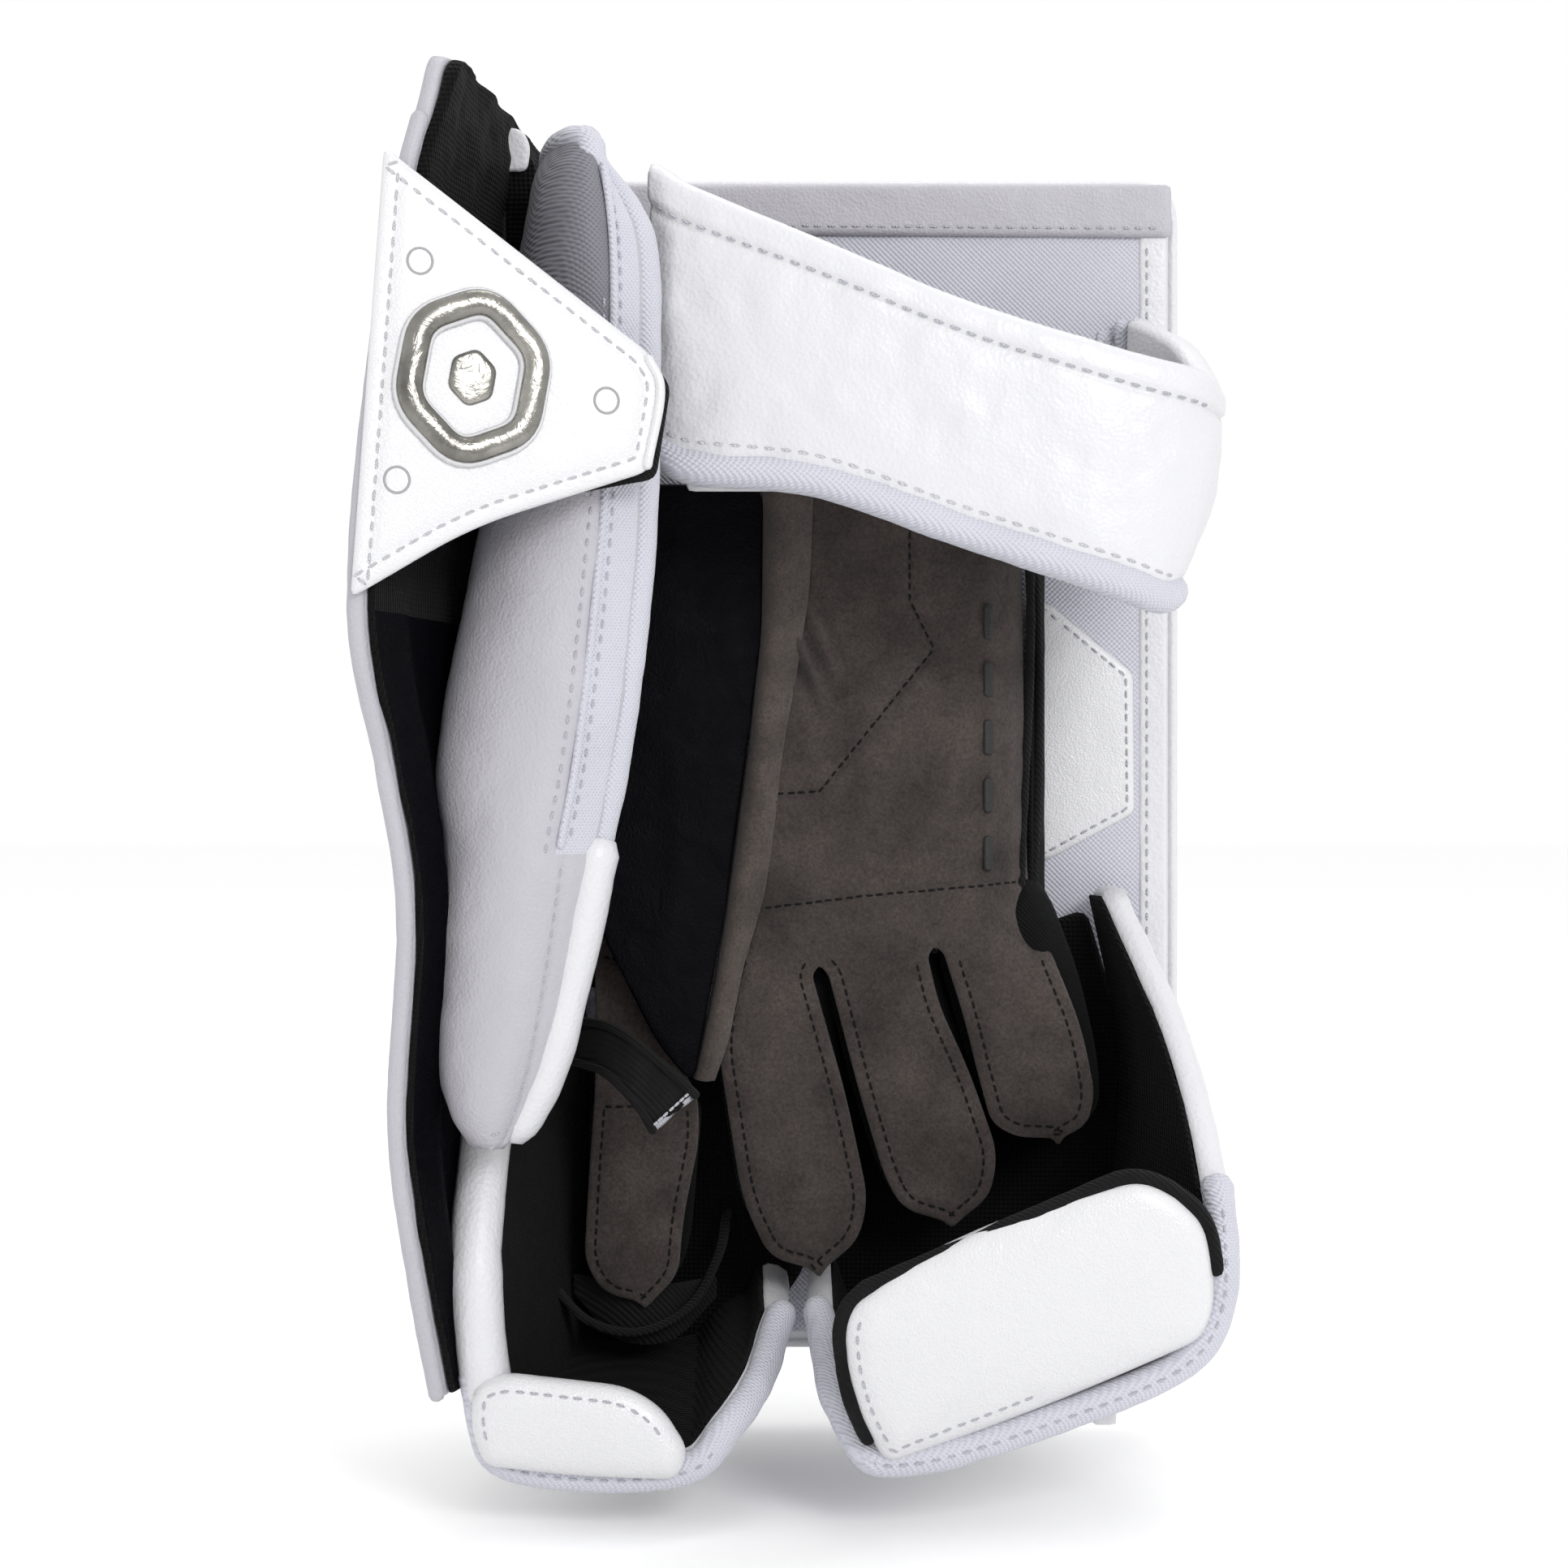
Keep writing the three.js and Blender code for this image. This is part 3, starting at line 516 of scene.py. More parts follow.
def tube(name, path, radius, mats, sides=12, flat=1.0, normals=None, wobble=0.0, seed=5):
    """A round or flattened roll along path, closed with round ends."""
    step = max(radius * 0.45, 0.6)
    if normals is None:
        path = spaced(np.asarray(path, float), step)
    else:
        both = spaced(np.concatenate([path, normals], 1), step)
        path, normals = both[:, :3], both[:, 3:]
    t = np.gradient(path, axis=0)
    t /= np.linalg.norm(t, axis=1, keepdims=True)
    up = np.zeros_like(path)
    up[0] = np.cross(t[0], [0.3, 0.9, 0.2]) if normals is None else normals[0]
    up[0] /= np.linalg.norm(up[0])
    for i in range(1, len(path)):
        q = up[i - 1] if normals is None else normals[i]
        q = q - t[i] * (q @ t[i])
        up[i] = q / np.linalg.norm(q)
    side = np.cross(t, up)
    r = np.full(len(path), float(radius))
    if wobble:
        r = r + wobble * ripple(path, 9.0, seed, 2)
    verts, rings = [], []
    order = ([(0, -math.cos(a) * radius * 0.9, math.sin(a)) for a in np.linspace(0.15, math.pi / 2, 3)]
             + [(i, 0, 1) for i in range(1, len(path) - 1)]
             + [(len(path) - 1, math.cos(a) * radius * 0.9, math.sin(a))
                for a in np.linspace(math.pi / 2, 0.15, 3)])
    for i, ahead, k in order:
        ring = []
        for s in range(sides):
            a = 2 * math.pi * s / sides
            ring.append(path[i] + t[i] * ahead + (up[i] * math.cos(a) * flat + side[i] * math.sin(a)) * r[i]
                        * k)
        rings.append(len(verts) + np.arange(sides))
        verts += ring
    faces = [(a[s], a[(s + 1) % sides], b[(s + 1) % sides], b[s]) for a, b in zip(rings, rings[1:])
             for s in range(sides)]
    faces.append(tuple(rings[0][::-1]))
    faces.append(tuple(rings[-1]))
    return build(name, np.array(verts), faces, mats)


def stitches(name, points, normals, thread, how, pitch=4.2, length=2.7, radius=0.42, lift=0.12):
    """A row of short sewn threads along points."""
    p = np.asarray(points, float)
    both = spaced(np.concatenate([p, np.asarray(normals, float)], 1), 0.5)
    seg = np.concatenate([[0], np.cumsum(np.linalg.norm(np.diff(both[:, :3], axis=0), axis=1))])
    verts, faces = [], []
    ring = [(math.cos(a), math.sin(a)) for a in np.linspace(0, 2 * math.pi, 6, endpoint=False)]
    for s in np.arange(pitch / 2, seg[-1] - length / 2, pitch):
        k = min(int(np.searchsorted(seg, s)), len(both) - 2)
        k = max(k, 1)
        c, n = both[k, :3], both[k, 3:] / max(np.linalg.norm(both[k, 3:]), 1e-9)
        t = both[k + 1, :3] - both[k - 1, :3]
        t = t / max(np.linalg.norm(t), 1e-9)
        b = np.cross(t, n)
        b = b / max(np.linalg.norm(b), 1e-9)
        n = np.cross(b, t)
        start = len(verts)
        for q, size, drop in ((-0.5, 0.45, -0.35), (-0.28, 1, 0), (0.28, 1, 0), (0.5, 0.45, -0.35)):
            for ca, sa in ring:
                verts.append(c + t * q * length + n * (lift + drop * radius * 1.6)
                             + (n * ca * 0.8 + b * sa) * radius * size)
        for r in range(3):
            for side in range(6):
                a = start + r * 6
                faces.append((a + side, a + (side + 1) % 6, a + 6 + (side + 1) % 6, a + 6 + side))
        faces.append(tuple(start + 5 - side for side in range(6)))
        faces.append(tuple(start + 18 + side for side in range(6)))
    return fit(build(name, np.array(verts), faces, thread), how)


def onto(obj, path, step=1.5, y=-400.0):
    """Where a line of x, z lands on a piece seen from the palm side, with normals."""
    bvh = BVHTree.FromObject(obj, bpy.context.evaluated_depsgraph_get())
    pts, nrm = [], []
    for x, z in spaced(np.asarray(path, float), step):
        hit = bvh.ray_cast(Vector((x, y, z)) * MM, Vector((0, 1, 0)))
        if hit[0] is not None:
            n = hit[1]
            pts.append(np.array(hit[0]) / MM)
            nrm.append(np.array(n if n.y < 0 else -n))
    return np.array(pts), np.array(nrm)


def sew(name, obj, path, thread, how, **sizes):
    """Stitches along a line of x, z on a piece, seen from the palm side."""
    bpy.context.view_layer.update()
    points, normals = onto(obj, path)
    return stitches(name, points, normals, thread, how, **sizes)


def inset(outline, by):
    """A closed outline moved inwards."""
    q = np.asarray(outline, float)
    t = np.roll(q, -1, axis=0) - np.roll(q, 1, axis=0)
    t /= np.maximum(np.linalg.norm(t, axis=1, keepdims=True), 1e-9)
    n = np.stack([-t[:, 1], t[:, 0]], 1)
    area = (q[:, 0] * np.roll(q[:, 1], -1) - q[:, 1] * np.roll(q[:, 0], -1)).sum()
    moved = q + n * by * (1 if area > 0 else -1)
    return np.concatenate([moved, moved[:1]])


def inflate(obj, pressure=3.0, frames=16, cap=3.0):
    """Cloth under pressure: the pad swells by at most cap mm, and the result becomes its mesh."""
    before = np.array([v.co for v in obj.data.vertices])
    cloth = obj.modifiers.new("cloth", "CLOTH")
    cloth.settings.use_pressure = True
    cloth.settings.uniform_pressure_force = pressure
    cloth.settings.effector_weights.gravity = 0
    cloth.settings.quality = 4
    cloth.point_cache.frame_start, cloth.point_cache.frame_end = 1, frames
    for f in range(1, frames + 1):
        scene.frame_set(f)
    got = obj.evaluated_get(bpy.context.evaluated_depsgraph_get()).data
    after = np.array([v.co for v in got.vertices])
    move = after - before
    size = np.linalg.norm(move, axis=1, keepdims=True)
    move *= np.minimum(1, cap * MM / np.maximum(size, 1e-9))
    obj.modifiers.remove(cloth)
    scene.frame_set(1)
    obj.data.vertices.foreach_set("co", (before + move).ravel())
    obj.data.update()
    return obj


def hump(value, centre, width):
    """A smooth bump of height 1 round centre."""
    return np.exp(-((value - centre) / width) ** 2)


def level(y):
    """A flat base for filled()."""
    return lambda x, z: np.full(len(x), float(y))


def rectangle(left, right, bottom, top, radius, step=2.0):
    return rounded([(left, bottom), (right, bottom), (right, top), (left, top)], radius, step)


def box_outline(node, radius, grow=0.0):
    """A node's box as a rounded outline, larger by grow on each side."""
    return rectangle(lo(node, 0) - grow, hi(node, 0) + grow, lo(node, 2) - grow, hi(node, 2) + grow, radius)


def middle(node):
    """The y halfway through a node."""
    return (lo(node, 1) + hi(node, 1)) / 2


def opened(points):
    """What is left of a closed line, begun after its widest gap."""
    line = np.array(points)
    start = int(np.argmax(np.linalg.norm(np.diff(line, axis=0), axis=1))) + 1
    return np.roll(line, -start, axis=0)


# ---------- board ----------
BOARD = rectangle(LEFT, RIGHT, BOTTOM, TOP, 12, 3)


def make_board():
    """The padded board with its piped edges, and the mesh and strips on its back."""
    body = "blocker_board"
    board = filled("board_body", BOARD, level((BACK + FACE) / 2), 16, 16, WHITE, edge=9, boxy=4.5, step=4,
                   wrinkle=0.25, size=40, seed=3)
    fit(board, body,
        ["board_front_cover", "board_stiffener", "board_foam_core", "board_edge_band"])
    for y, label in ((BACK + 3.2, "back"), (FACE - 3.2, "face")):
        ring = np.array([(x, y, z) for x, z in np.concatenate([BOARD, BOARD[:2]])])
        fit(tube("board_piping_" + label, ring, 1.7, WHITE, 8), body)
    panel = rectangle(LEFT + 4, RIGHT - 9, BOTTOM + 4, TOP - 12, 6, 3)
    mesh = filled("board_back_mesh", panel, level(BACK), 0.9, 1.5, MESH, edge=1.2, step=4, wrinkle=0.3,
                  size=30)
    fit(mesh, body, ["board_back_panel"], sheet="laid")
    strip = rectangle(RIGHT - 11.5, RIGHT - 2.5, BOTTOM + 4, TOP - 12, 1, 3)
    edge = filled("board_edge_strip", strip, level(BACK - 0.5), 1.0, 1, WHITE, edge=1.2, step=3,
                  wrinkle=0.25, size=12)
    fit(edge, body, sheet="laid")
    band = rounded([(LEFT + 1, TOP - 16.5), (RIGHT - 1, TOP - 18), (RIGHT - 1, TOP - 0.5),
                    (LEFT + 1, TOP - 0.5)], 2, 2)
    # The top leather band takes the painted-shade copy of white leather.
    top = filled("board_top_leather", band, level(BACK - 1.4), 1.9, 1.5, PAINTED_SHADE_LEATHER, edge=2, step=2.6,
                 wrinkle=0.3, size=14, seed=6)
    fit(top, body, ["board_top_band"], sheet="laid")
    sew("board_top_stitches", top, [(LEFT + 4, TOP - 13.8), (RIGHT - 4, TOP - 15.2)], GREY_THREAD, body)
    sew("board_edge_stitches", edge, [(RIGHT - 9, TOP - 20), (RIGHT - 9, BOTTOM + 8)], GREY_THREAD, body)


def make_back_patches():
    """The leather beside the palm, and a small slanted strip under it."""
    body = "blocker_board"
    hexagon = rounded([(55, 53), (60, 53), (88, 30), (88.5, -16), (60, -31.5), (55, -31.5)], 2.5, 1.6)
    patch = filled("back_patch_leather", hexagon, level(BACK - 0.9), 1.6, 0.6, GLOSS, edge=1.6, crown=0.7,
                   crown_at=4, step=2, wrinkle=0.2, size=16, seed=8)
    fit(patch, body, ["back_patch"], sheet="laid")
    line = inset(hexagon, 2.6)
    sew("back_patch_stitches", patch, opened(line[line[:, 0] > 57.5]), GREY_THREAD, body, pitch=3.8)
    slant = rounded([(64, -57), (70, -57), (74, -92), (68, -92)], 1, 1.5)
    small = filled("back_strip", slant, level(BACK - 0.8), 1.2, 0.6, WHITE, edge=1, step=1.6)
    fit(small, body, sheet="laid")
    sew("back_strip_stitches", small, [(66, -59), (70.5, -90)], GREY_THREAD, body, pitch=3)


def make_face():
    """The striking face: a stitched border and two curved seams."""
    body = "blocker_board"
    pts = np.array([(x, FACE + 0.1, z) for x, z in inset(BOARD, 14)])
    stitches("face_border_stitches", pts, np.tile([0, 1, 0], (len(pts), 1)), GREY_THREAD, body, pitch=5)
    # Each seam roll takes the painted-shade copy of white leather.
    for k, z in enumerate((TOP * 0.5, -TOP * 0.5)):
        roll = [(x, FACE - 0.35, z + 6 * math.cos(math.pi * x / RIGHT))
                for x in np.linspace(LEFT + 9, RIGHT - 9, 40)]
        fit(tube(f"face_seam_{k + 1}", roll, 1.1, PAINTED_SHADE_LEATHER, 8), body)


# ---------- side board ----------
# z as a share of HALF, the side board's depth there as a share of SIDE_DEPTH, and its flare in mm
STATIONS = [(1.045, 0.89, 11), (1.038, 0.925, 11.7), (1.02, 0.95, 12.6), (0.97, 0.965, 14.5), (0.84, 1, 20),
            (0.215, 1.09, 31), (0, 0.96, 26.5), (-0.21, 0.9, 21.5), (-0.56, 0.84, 25), (-0.79, 0.8, 20),
            (-0.96, 0.76, 15)]
SIDE_DEPTH, SIDE_GAP, SIDE_ROOT, SIDE_THICK = 125, 12.5, 6, 7.0


def station(share, column):
    """A column of STATIONS at any height."""
    s = STATIONS[::-1]
    return float(np.interp(share, [q[0] for q in s], [q[column] for q in s]))


def side_outer(z, h):
    """The x of the side board's outer face."""
    edge = SIDE_DEPTH * station(z / HALF, 1)
    return LEFT - SIDE_GAP - station(z / HALF, 2) * h / edge


def side_rows():
    rows = []
    for share, depth, _ in STATIONS:
        z, edge = share * HALF, SIDE_DEPTH * depth
        rows.append([at(side_outer(z, h), h, z) for h in (edge, (SIDE_ROOT + edge) / 2, SIDE_ROOT)])
    return rows


def make_side_board():
    body = "side_board"
    patch = Patch(side_rows(), 40, 120)
    # The cover takes the painted-shade copy of white leather.
    skin = shell("side_board_cover", patch, 0, 5.1, [PAINTED_SHADE_LEATHER], puff=1.2, wrinkle=0.35, size=40, seed=11,
                 roll=0.7)
    fit(skin, body, ["side_board_skin", "side_board_core"])
    folds = lambda u, v, p: (2.4 * hump(u, 0.12, 0.045) * np.clip((50 - p[..., 2]) / 12, 0, 1)
                             + 0.35 * (1 + np.sin(u * 24 + 1.5 * np.sin(v * 7)))
                             + 1.1 * (1 + ripple(p, 14, 15)) * np.clip((p[..., 2] - 60) / 60, 0, 1))
    liner = shell("side_board_lining", patch, 5.2, SIDE_THICK + 0.3, [KNIT, SATIN], wrinkle=1.2, size=22,
                  seed=12, sag=folds, pick=lambda u, v, p: (0, 0) if p[2] > 44 else (1, 1))
    fit(liner, body, ["side_board_liner"], sheet="stretched")
    path = patch.edge(0, 0.33, 1, 60, 2.4, 1.2)
    # The edge roll takes the painted-shade copy of white leather.
    fit(tube("side_board_edge_roll", path, 2.5, PAINTED_SHADE_LEATHER, 10, wobble=0.2), body, ["side_board_binding"])
    p, n = patch.line(0.07, (0.01, 0.99), 120, -0.75)
    stitches("side_board_edge_stitches", p, n, GREY_THREAD, body, pitch=5)
    for k, (u, depth) in enumerate(((0.5, -1.3), (0.9, -0.7))):
        p, n = patch.line(u, (0.03, 0.97), 140, depth)
        stitches(f"side_board_stitches_{k + 1}", p, n, GREY_THREAD, body, pitch=5)


def make_side_trims():
    """The white tab and the loose lining by the cuff, and the leather over the hinge."""
    body = "side_board"
    tab = rounded([(-115, 182), (-105.5, 182), (-104.5, 190), (-107, 195), (-113, 196)], 2.5, 1.2)
    y = middle("side_lining_tab")
    fit(filled("side_tab_white", tab, level(y), 1.4, 0.4, WHITE, edge=1.2, step=1.6), body,
        sheet="stretched")
    flap = rounded([(-112, 143), (-104.8, 143), (-103, 184), (-106, 189), (-110, 186), (-112.5, 178)], 2,
                   1.4)
    fit(filled("side_tab_lining", flap, level(y + 1.6), 1.0, 1.4, KNIT, edge=1.2, step=1.8, wrinkle=0.5,
               size=10), body, ["side_lining_tab"], sheet="stretched")
    rows = [[(LEFT + 1.5, BACK + 2, z), (LEFT - 5.5, BACK - 0.5, z), (side_outer(z, 8) + 1, BACK - 7, z)]
            for z in np.linspace(-0.94 * HALF, 0.94 * HALF, 7)]
    strip = shell("side_hinge_leather", Patch(rows, 12, 80), 0, 1.8, [WHITE], wrinkle=0.4, size=14, seed=13)
    fit(strip, ("blocker_board", body, (LEFT + 0.5, BACK, 0), (LEFT - SIDE_GAP, BACK, 0)),
        ["side_hinge_strip"], sheet="stretched")


# ---------- closure flap ----------
FLAP = [(-136, 168, 3), (-64, 114.5, 4), (-60, 106.5, 4), (-64, 81.5, 4), (-86, 73.5, 14), (-112, 64, 14),
        (-143.5, 43.5, 3)]
EMBLEM_CENTRE = (-112, 105)
FLAP_CORNERS = np.array([(-134, 160, -107.2), (-144.9, 40, -118.0), (-63, 109, -88.5), (-63, 77, -88.5)])
FLAP_FIT = np.linalg.lstsq(np.c_[np.ones(4), FLAP_CORNERS[:, :2]], FLAP_CORNERS[:, 2], rcond=None)[0]


def plane(x, z):
    """The y of the flat surface that fits the flap's corners, which are x, z, y."""
    return FLAP_FIT[0] + FLAP_FIT[1] * x + FLAP_FIT[2] * z


def make_flap():
    body = "closure_flap"
    outline = rounded(FLAP, 3, 1.4)
    groove = lambda x, z, d: -0.55 * hump(d, 4.4, 0.9)
    flap = filled("flap_cover", outline, plane, 1.5, 1.4, GLOSS, edge=1.7, crown=0.9, crown_at=6, step=1.7,
                  wrinkle=0.15, size=30, seed=21, pull=groove)
    fit(flap, body, ["flap_panel"])
    hook = rounded([(-92, 97), (-63.5, 113), (-58.6, 106.3), (-62.6, 79.6), (-92, 73)], 3, 1.4)
    under = lambda x, z: plane(x, z) + 2.7
    back = filled("flap_hook_side", hook, under, 0.9, 0.9, ELASTIC, edge=1, step=2)
    fit(back, body, ["flap_loop_backing"], sheet="laid")
    sew("flap_stitches", flap, inset(outline, 4.4), THREAD, body, pitch=4.4, length=3)
    roll = [(-64.8, plane(-64.8, 113) - 1.0, 113), (-61.6, plane(-61.6, 106) - 1.2, 106),
            (-65, plane(-65, 83) - 1.0, 83)]
    fit(tube("flap_end_roll", rows_at(np.array(roll), np.linspace(0, 1, 30)), 1.6, GLOSS, 10), body)
    make_emblem(flap)


def six_sided(wide, tall, radius, step):
    """A six-sided outline round the emblem's centre."""
    turns = np.linspace(0.2, 2 * math.pi + 0.2, 7)[:-1]
    x, z = EMBLEM_CENTRE
    return rounded([(x + wide * math.sin(a), z + tall * math.cos(a)) for a in turns], radius, step)


def make_emblem(flap):
    """Plain generic marks: a chrome six-sided ring round a disc, and three small rings."""
    body = "closure_flap"
    ring = six_sided(18.5, 22.5, 6, 1)
    p, n = onto(flap, np.concatenate([ring, ring[:3]]), 1)
    fit(tube("flap_emblem_base", p + n * 0.8, 4.6, GLOSS, 12, flat=0.4, normals=n), body)
    fit(tube("flap_emblem_ring", p + n * 2.0, 3.7, CHROME, 14, flat=0.5, normals=n), body, ["flap_emblem"])
    fit(filled("flap_emblem_disc", six_sided(7, 8.5, 2, 0.8), lambda x, z: plane(x, z) - 2.0, 1.3, 1.2,
               CHROME, edge=1.2, crown=0.3, crown_at=3, step=1), body)
    for i, (x, z) in enumerate(((-126, 136.5), (-76, 100.5), (-131.5, 76))):
        turns = np.linspace(0, 2 * math.pi + 0.3, 40)
        round_path = [(x + 3.3 * math.cos(a), z + 3.6 * math.sin(a)) for a in turns]
        p, n = onto(flap, round_path, 0.8)
        fit(tube(f"flap_ring_{i + 1}", p - n * 0.15, 0.42, PRINT, 8), body)


# ---------- wrist wing ----------
WING_THICK = 10.6


def beside(z, h, gap=0.0):
    """The x just inside the side board."""
    return side_outer(z, h) + SIDE_THICK + 4 + gap


# for each z, four points across the wing: x, height, and how far the point drops. An x of None follows
# the side board
WING = [(HALF - 4, (-75, 98, 20), (-85, 96, 3), (-97, 80, 0), (-103, 46, 14)),
        (150, (-69, 101, 0), (-83, 104, 0), (-101, 86, 0), (-104, 44, 0)),
        (110, (-68, 102, 0), (-84, 105, 0), (-103, 90, 0), (-105, 42, 0)),
        (60, (-69, 102, 0), (-90, 108, 0), (-113, 94, 0), (-108, 42, 0)),
        (0, (-76, 102, 0), (-97, 110, 0), (None, 96, 0), (None, 44, 0)),
        (-25, (-81, 102, 0), (-101, 110, 0), (None, 96, 0), (None, 52, 0)),
        (-60, (-88, 102, 0), (-104, 110, 0), (None, 98, 0), (None, 66, 0)),
        (-88, (-95, 102, 0), (-107, 109, 0), (-122, 101, 0), (-127, 84, 0)),
        (-102, (-101, 101, 0), (-109, 107, 0), (-119, 102, 0), (-123, 92, 0)),
        (-110, (-106, 101, 0), (-110, 104, 0), (-115, 102, 0), (-118, 97, 0))]


def wing_rows():
    rows = []
    for z, *points in WING:
        rows.append([at(beside(z, h, k), h, z) if x is None else at(x, h, z - k) for x, h, k in points])
    return rows


def make_wing():
    body = "wrist_wing"
    patch = Patch(wing_rows(), 56, 150)
    dome = lambda u, v, p: -6.0 * np.clip((p[..., 2] - 168) / 20, 0, 1) ** 2
    groove = lambda u, v, p: (dome(u, v, p) - 0.9 * hump(u, 0.17, 0.018) * (v < 0.56)
                              - 0.7 * hump(u, 0.13, 0.02) * (v >= 0.56))
    # The pad's face takes the painted-shade copy of white leather, and its top above z 96 takes the
    # painted-shade copy of white mesh; a strip along the near edge's upper part is plain white mesh.
    mesh_band = lambda u, v, p: (1, 2) if u < 0.17 and v < 0.56 else (3, 2) if p[2] > 96 else (0, 2)
    pad = shell("wing_padding", patch, 0, WING_THICK, [PAINTED_SHADE_LEATHER, MESH, TWILL, PAINTED_SHADE_MESH], puff=2.6, wrinkle=0.7,
                size=24, seed=31, lift=groove, pick=mesh_band, roll=0.6)
    fit(inflate(pad, 2.0, 10, 1.3), body, ["wing_cover", "wing_foam", "wing_liner"])
    side = patch.edge(0, 0.03, 0.565, 90, WING_THICK / 2 - 1.2, 2.6)
    over, _ = patch.line((0.9, 0.1), 0, 40, WING_THICK / 2 - 1.2)
    over[:, 2] -= 4.5 * np.clip((over[:, 2] - 168) / 20, 0, 1)
    path = rows_at(np.concatenate([over[::4], side[::5]]), np.linspace(0, 1, 200))
    roll = tube("wing_edge_binding", path, 4.3, MESH, 14, wobble=0.25, seed=32)
    fit(roll, body, ["wing_binding"])
    path = patch.edge(0, 0.56, 0.93, 60, WING_THICK / 2 - 1, 2.2)
    bumper = tube("wing_bumper_roll", path, 6.9, WHITE, 18, wobble=0.35, seed=33)
    fit(bumper, body, ["wing_bumper"])
    path, _ = patch.line(0.165, (0.02, 0.55), 90, -1.6)
    fit(tube("wing_piping", path, 1.25, MESH, 8), body)
    for k, (u, v0, v1) in enumerate(((0.115, 0.02, 0.55), (0.215, 0.16, 0.56))):
        p, _ = patch.line(u, (v0, v1), 120)
        sew(f"wing_stitches_{k + 1}", pad, p[:, [0, 2]], GREY_THREAD, body, pitch=4.6)
    u = np.concatenate([np.full(60, 0.135), np.linspace(0.135, 0.5, 30)])
    v = np.concatenate([np.linspace(0.57, 0.93, 60), np.linspace(0.93, 0.965, 30)])
    p, _ = patch.point(u, v)
    sew("wing_bumper_stitches", pad, p[:, [0, 2]], GREY_THREAD, body, pitch=4.4)
    make_gusset()
    p, _ = patch.line(0, (0.30, 0.36), 26, WING_THICK + 1)
    p[:, 0] += 7.5
    stitches("lining_stitches", p, np.tile([0, -1, 0], (26, 1)), THREAD, body, pitch=3)


def make_gusset():
    """The black lining between the wing and the board."""
    low_side = [[(-74 - 6 * s, 18, z), (-92 - 4 * s, 4, z),
                 (beside(z, 42 + 14 * s) + 8, BACK - 46 - 22 * s, z)]
                for z, s in ((165, 0), (100, 0), (30, 0.2), (-30, 0.8), (-72, 1.3))]
    gusset = shell("wing_gusset", Patch(low_side, 16, 60), 0, 1.8, [TWILL], wrinkle=1.2, size=20, seed=35)
    fit(gusset, ("blocker_board", "wrist_wing", (-84, 20, 0), (-100, -18, 0)),
        sheet="stretched")


# ---------- wrist strap ----------
def strap_rows():
    top, drop, h = 168, 57, 95
    left, right = -57.5, RIGHT
    run = [(left - 8, h - 9, -0.1, 0), (left, h - 4, 0, 0), (left * 0.3, h + 2, 0.32, 0.34),
           (right * 0.27, h + 3, 0.65, 0.43), (right * 0.72, h + 1, 0.89, 0.41),
           (right * 0.95, h - 9, 0.97, 0.6), (right + 5, h - 34, 1, 1), (right + 1, h - 62, 0.67, 1),
           (right - 10, 10, 0.46, 1)]
    width = lambda k: 78 + (40 - 78) * k
    draw = [0, 0, 0, 0, 0, 9, 11, 5, 0]
    return [[at(x - m * down ** 2, q, top - drop * d - (width(k) + m * 0.7) * down)
             for (x, q, d, k), m in zip(run, draw)] for down in (1, 0.5, 0)]


def make_strap():
    body = "wrist_strap"
    patch = Patch(strap_rows(), 190, 44)
    fold = lambda u, v, p: (0.9 * (v > 0.87) - 0.8 * hump(v, 0.865, 0.02)
                            + 0.8 * ripple(p * np.array([1.0, 1.0, 0.35]), 13, 43)
                            * np.clip(1 - np.abs(v - 0.5) * 1.5, 0, 1))
    band = shell("strap_band", patch, 0, 7.9, [WHITE, KNIT], puff=1.8, wrinkle=0.8, size=22, seed=41,
                 lift=fold, pick=lambda u, v, p: (0, 1 if u < 0.8 else 0), roll=0.55)
    bend = ("blocker_board", body, (RIGHT - 10, 19, 0), (RIGHT - 10, -4, 0))
    fit(inflate(band, 2.0, 10, 1.0), bend, ["strap_leather", "strap_foam", "strap_liner"])
    p, _ = patch.line((0, 0.66), 0, 130, 3.0)
    p[:, 2] -= 2.8
    roll = tube("strap_lower_binding", p, 5.4, MESH, 14, wobble=0.3, seed=44)
    fit(roll, body, ["strap_binding"])
    for k, (v, m, u1) in enumerate(((0.875, GREY_THREAD, 0.66), (0.055, THREAD, 0.62))):
        q, _ = patch.line((0.015, u1), v, 200)
        sew(f"strap_stitches_{k + 1}", band, q[:, [0, 2]], m, body, pitch=5.0, length=3.2)
    box = box_outline("strap_inner_tab", 2)
    tab = filled("strap_tab", box, level(middle("strap_inner_tab")), 1.1, 1.1, GLOSS, edge=1.2, step=2.4,
                 wrinkle=0.3)
    fit(tab, body, ["strap_inner_tab"], sheet="laid")
    anchor = box_outline("strap_anchor", 2, 0.5)
    sheet = filled("strap_anchor_patch", anchor, level(BACK - 1.3), 1.3, 1.1, MESH, edge=1.4, step=2)
    fit(sheet, "blocker_board", ["strap_anchor"], sheet="laid")
    sew("strap_anchor_stitches", sheet, inset(anchor, 3), THREAD, "blocker_board", pitch=3.6)
    for k, (x, h) in enumerate(((84, 5), (88, 8))):
        loop = [at(x, h, z) for z in np.linspace(143, 108, 20)]
        fit(tube(f"strap_root_roll_{k + 1}", loop, 2.6, MESH, 10, wobble=0.5, seed=45 + k), "blocker_board")


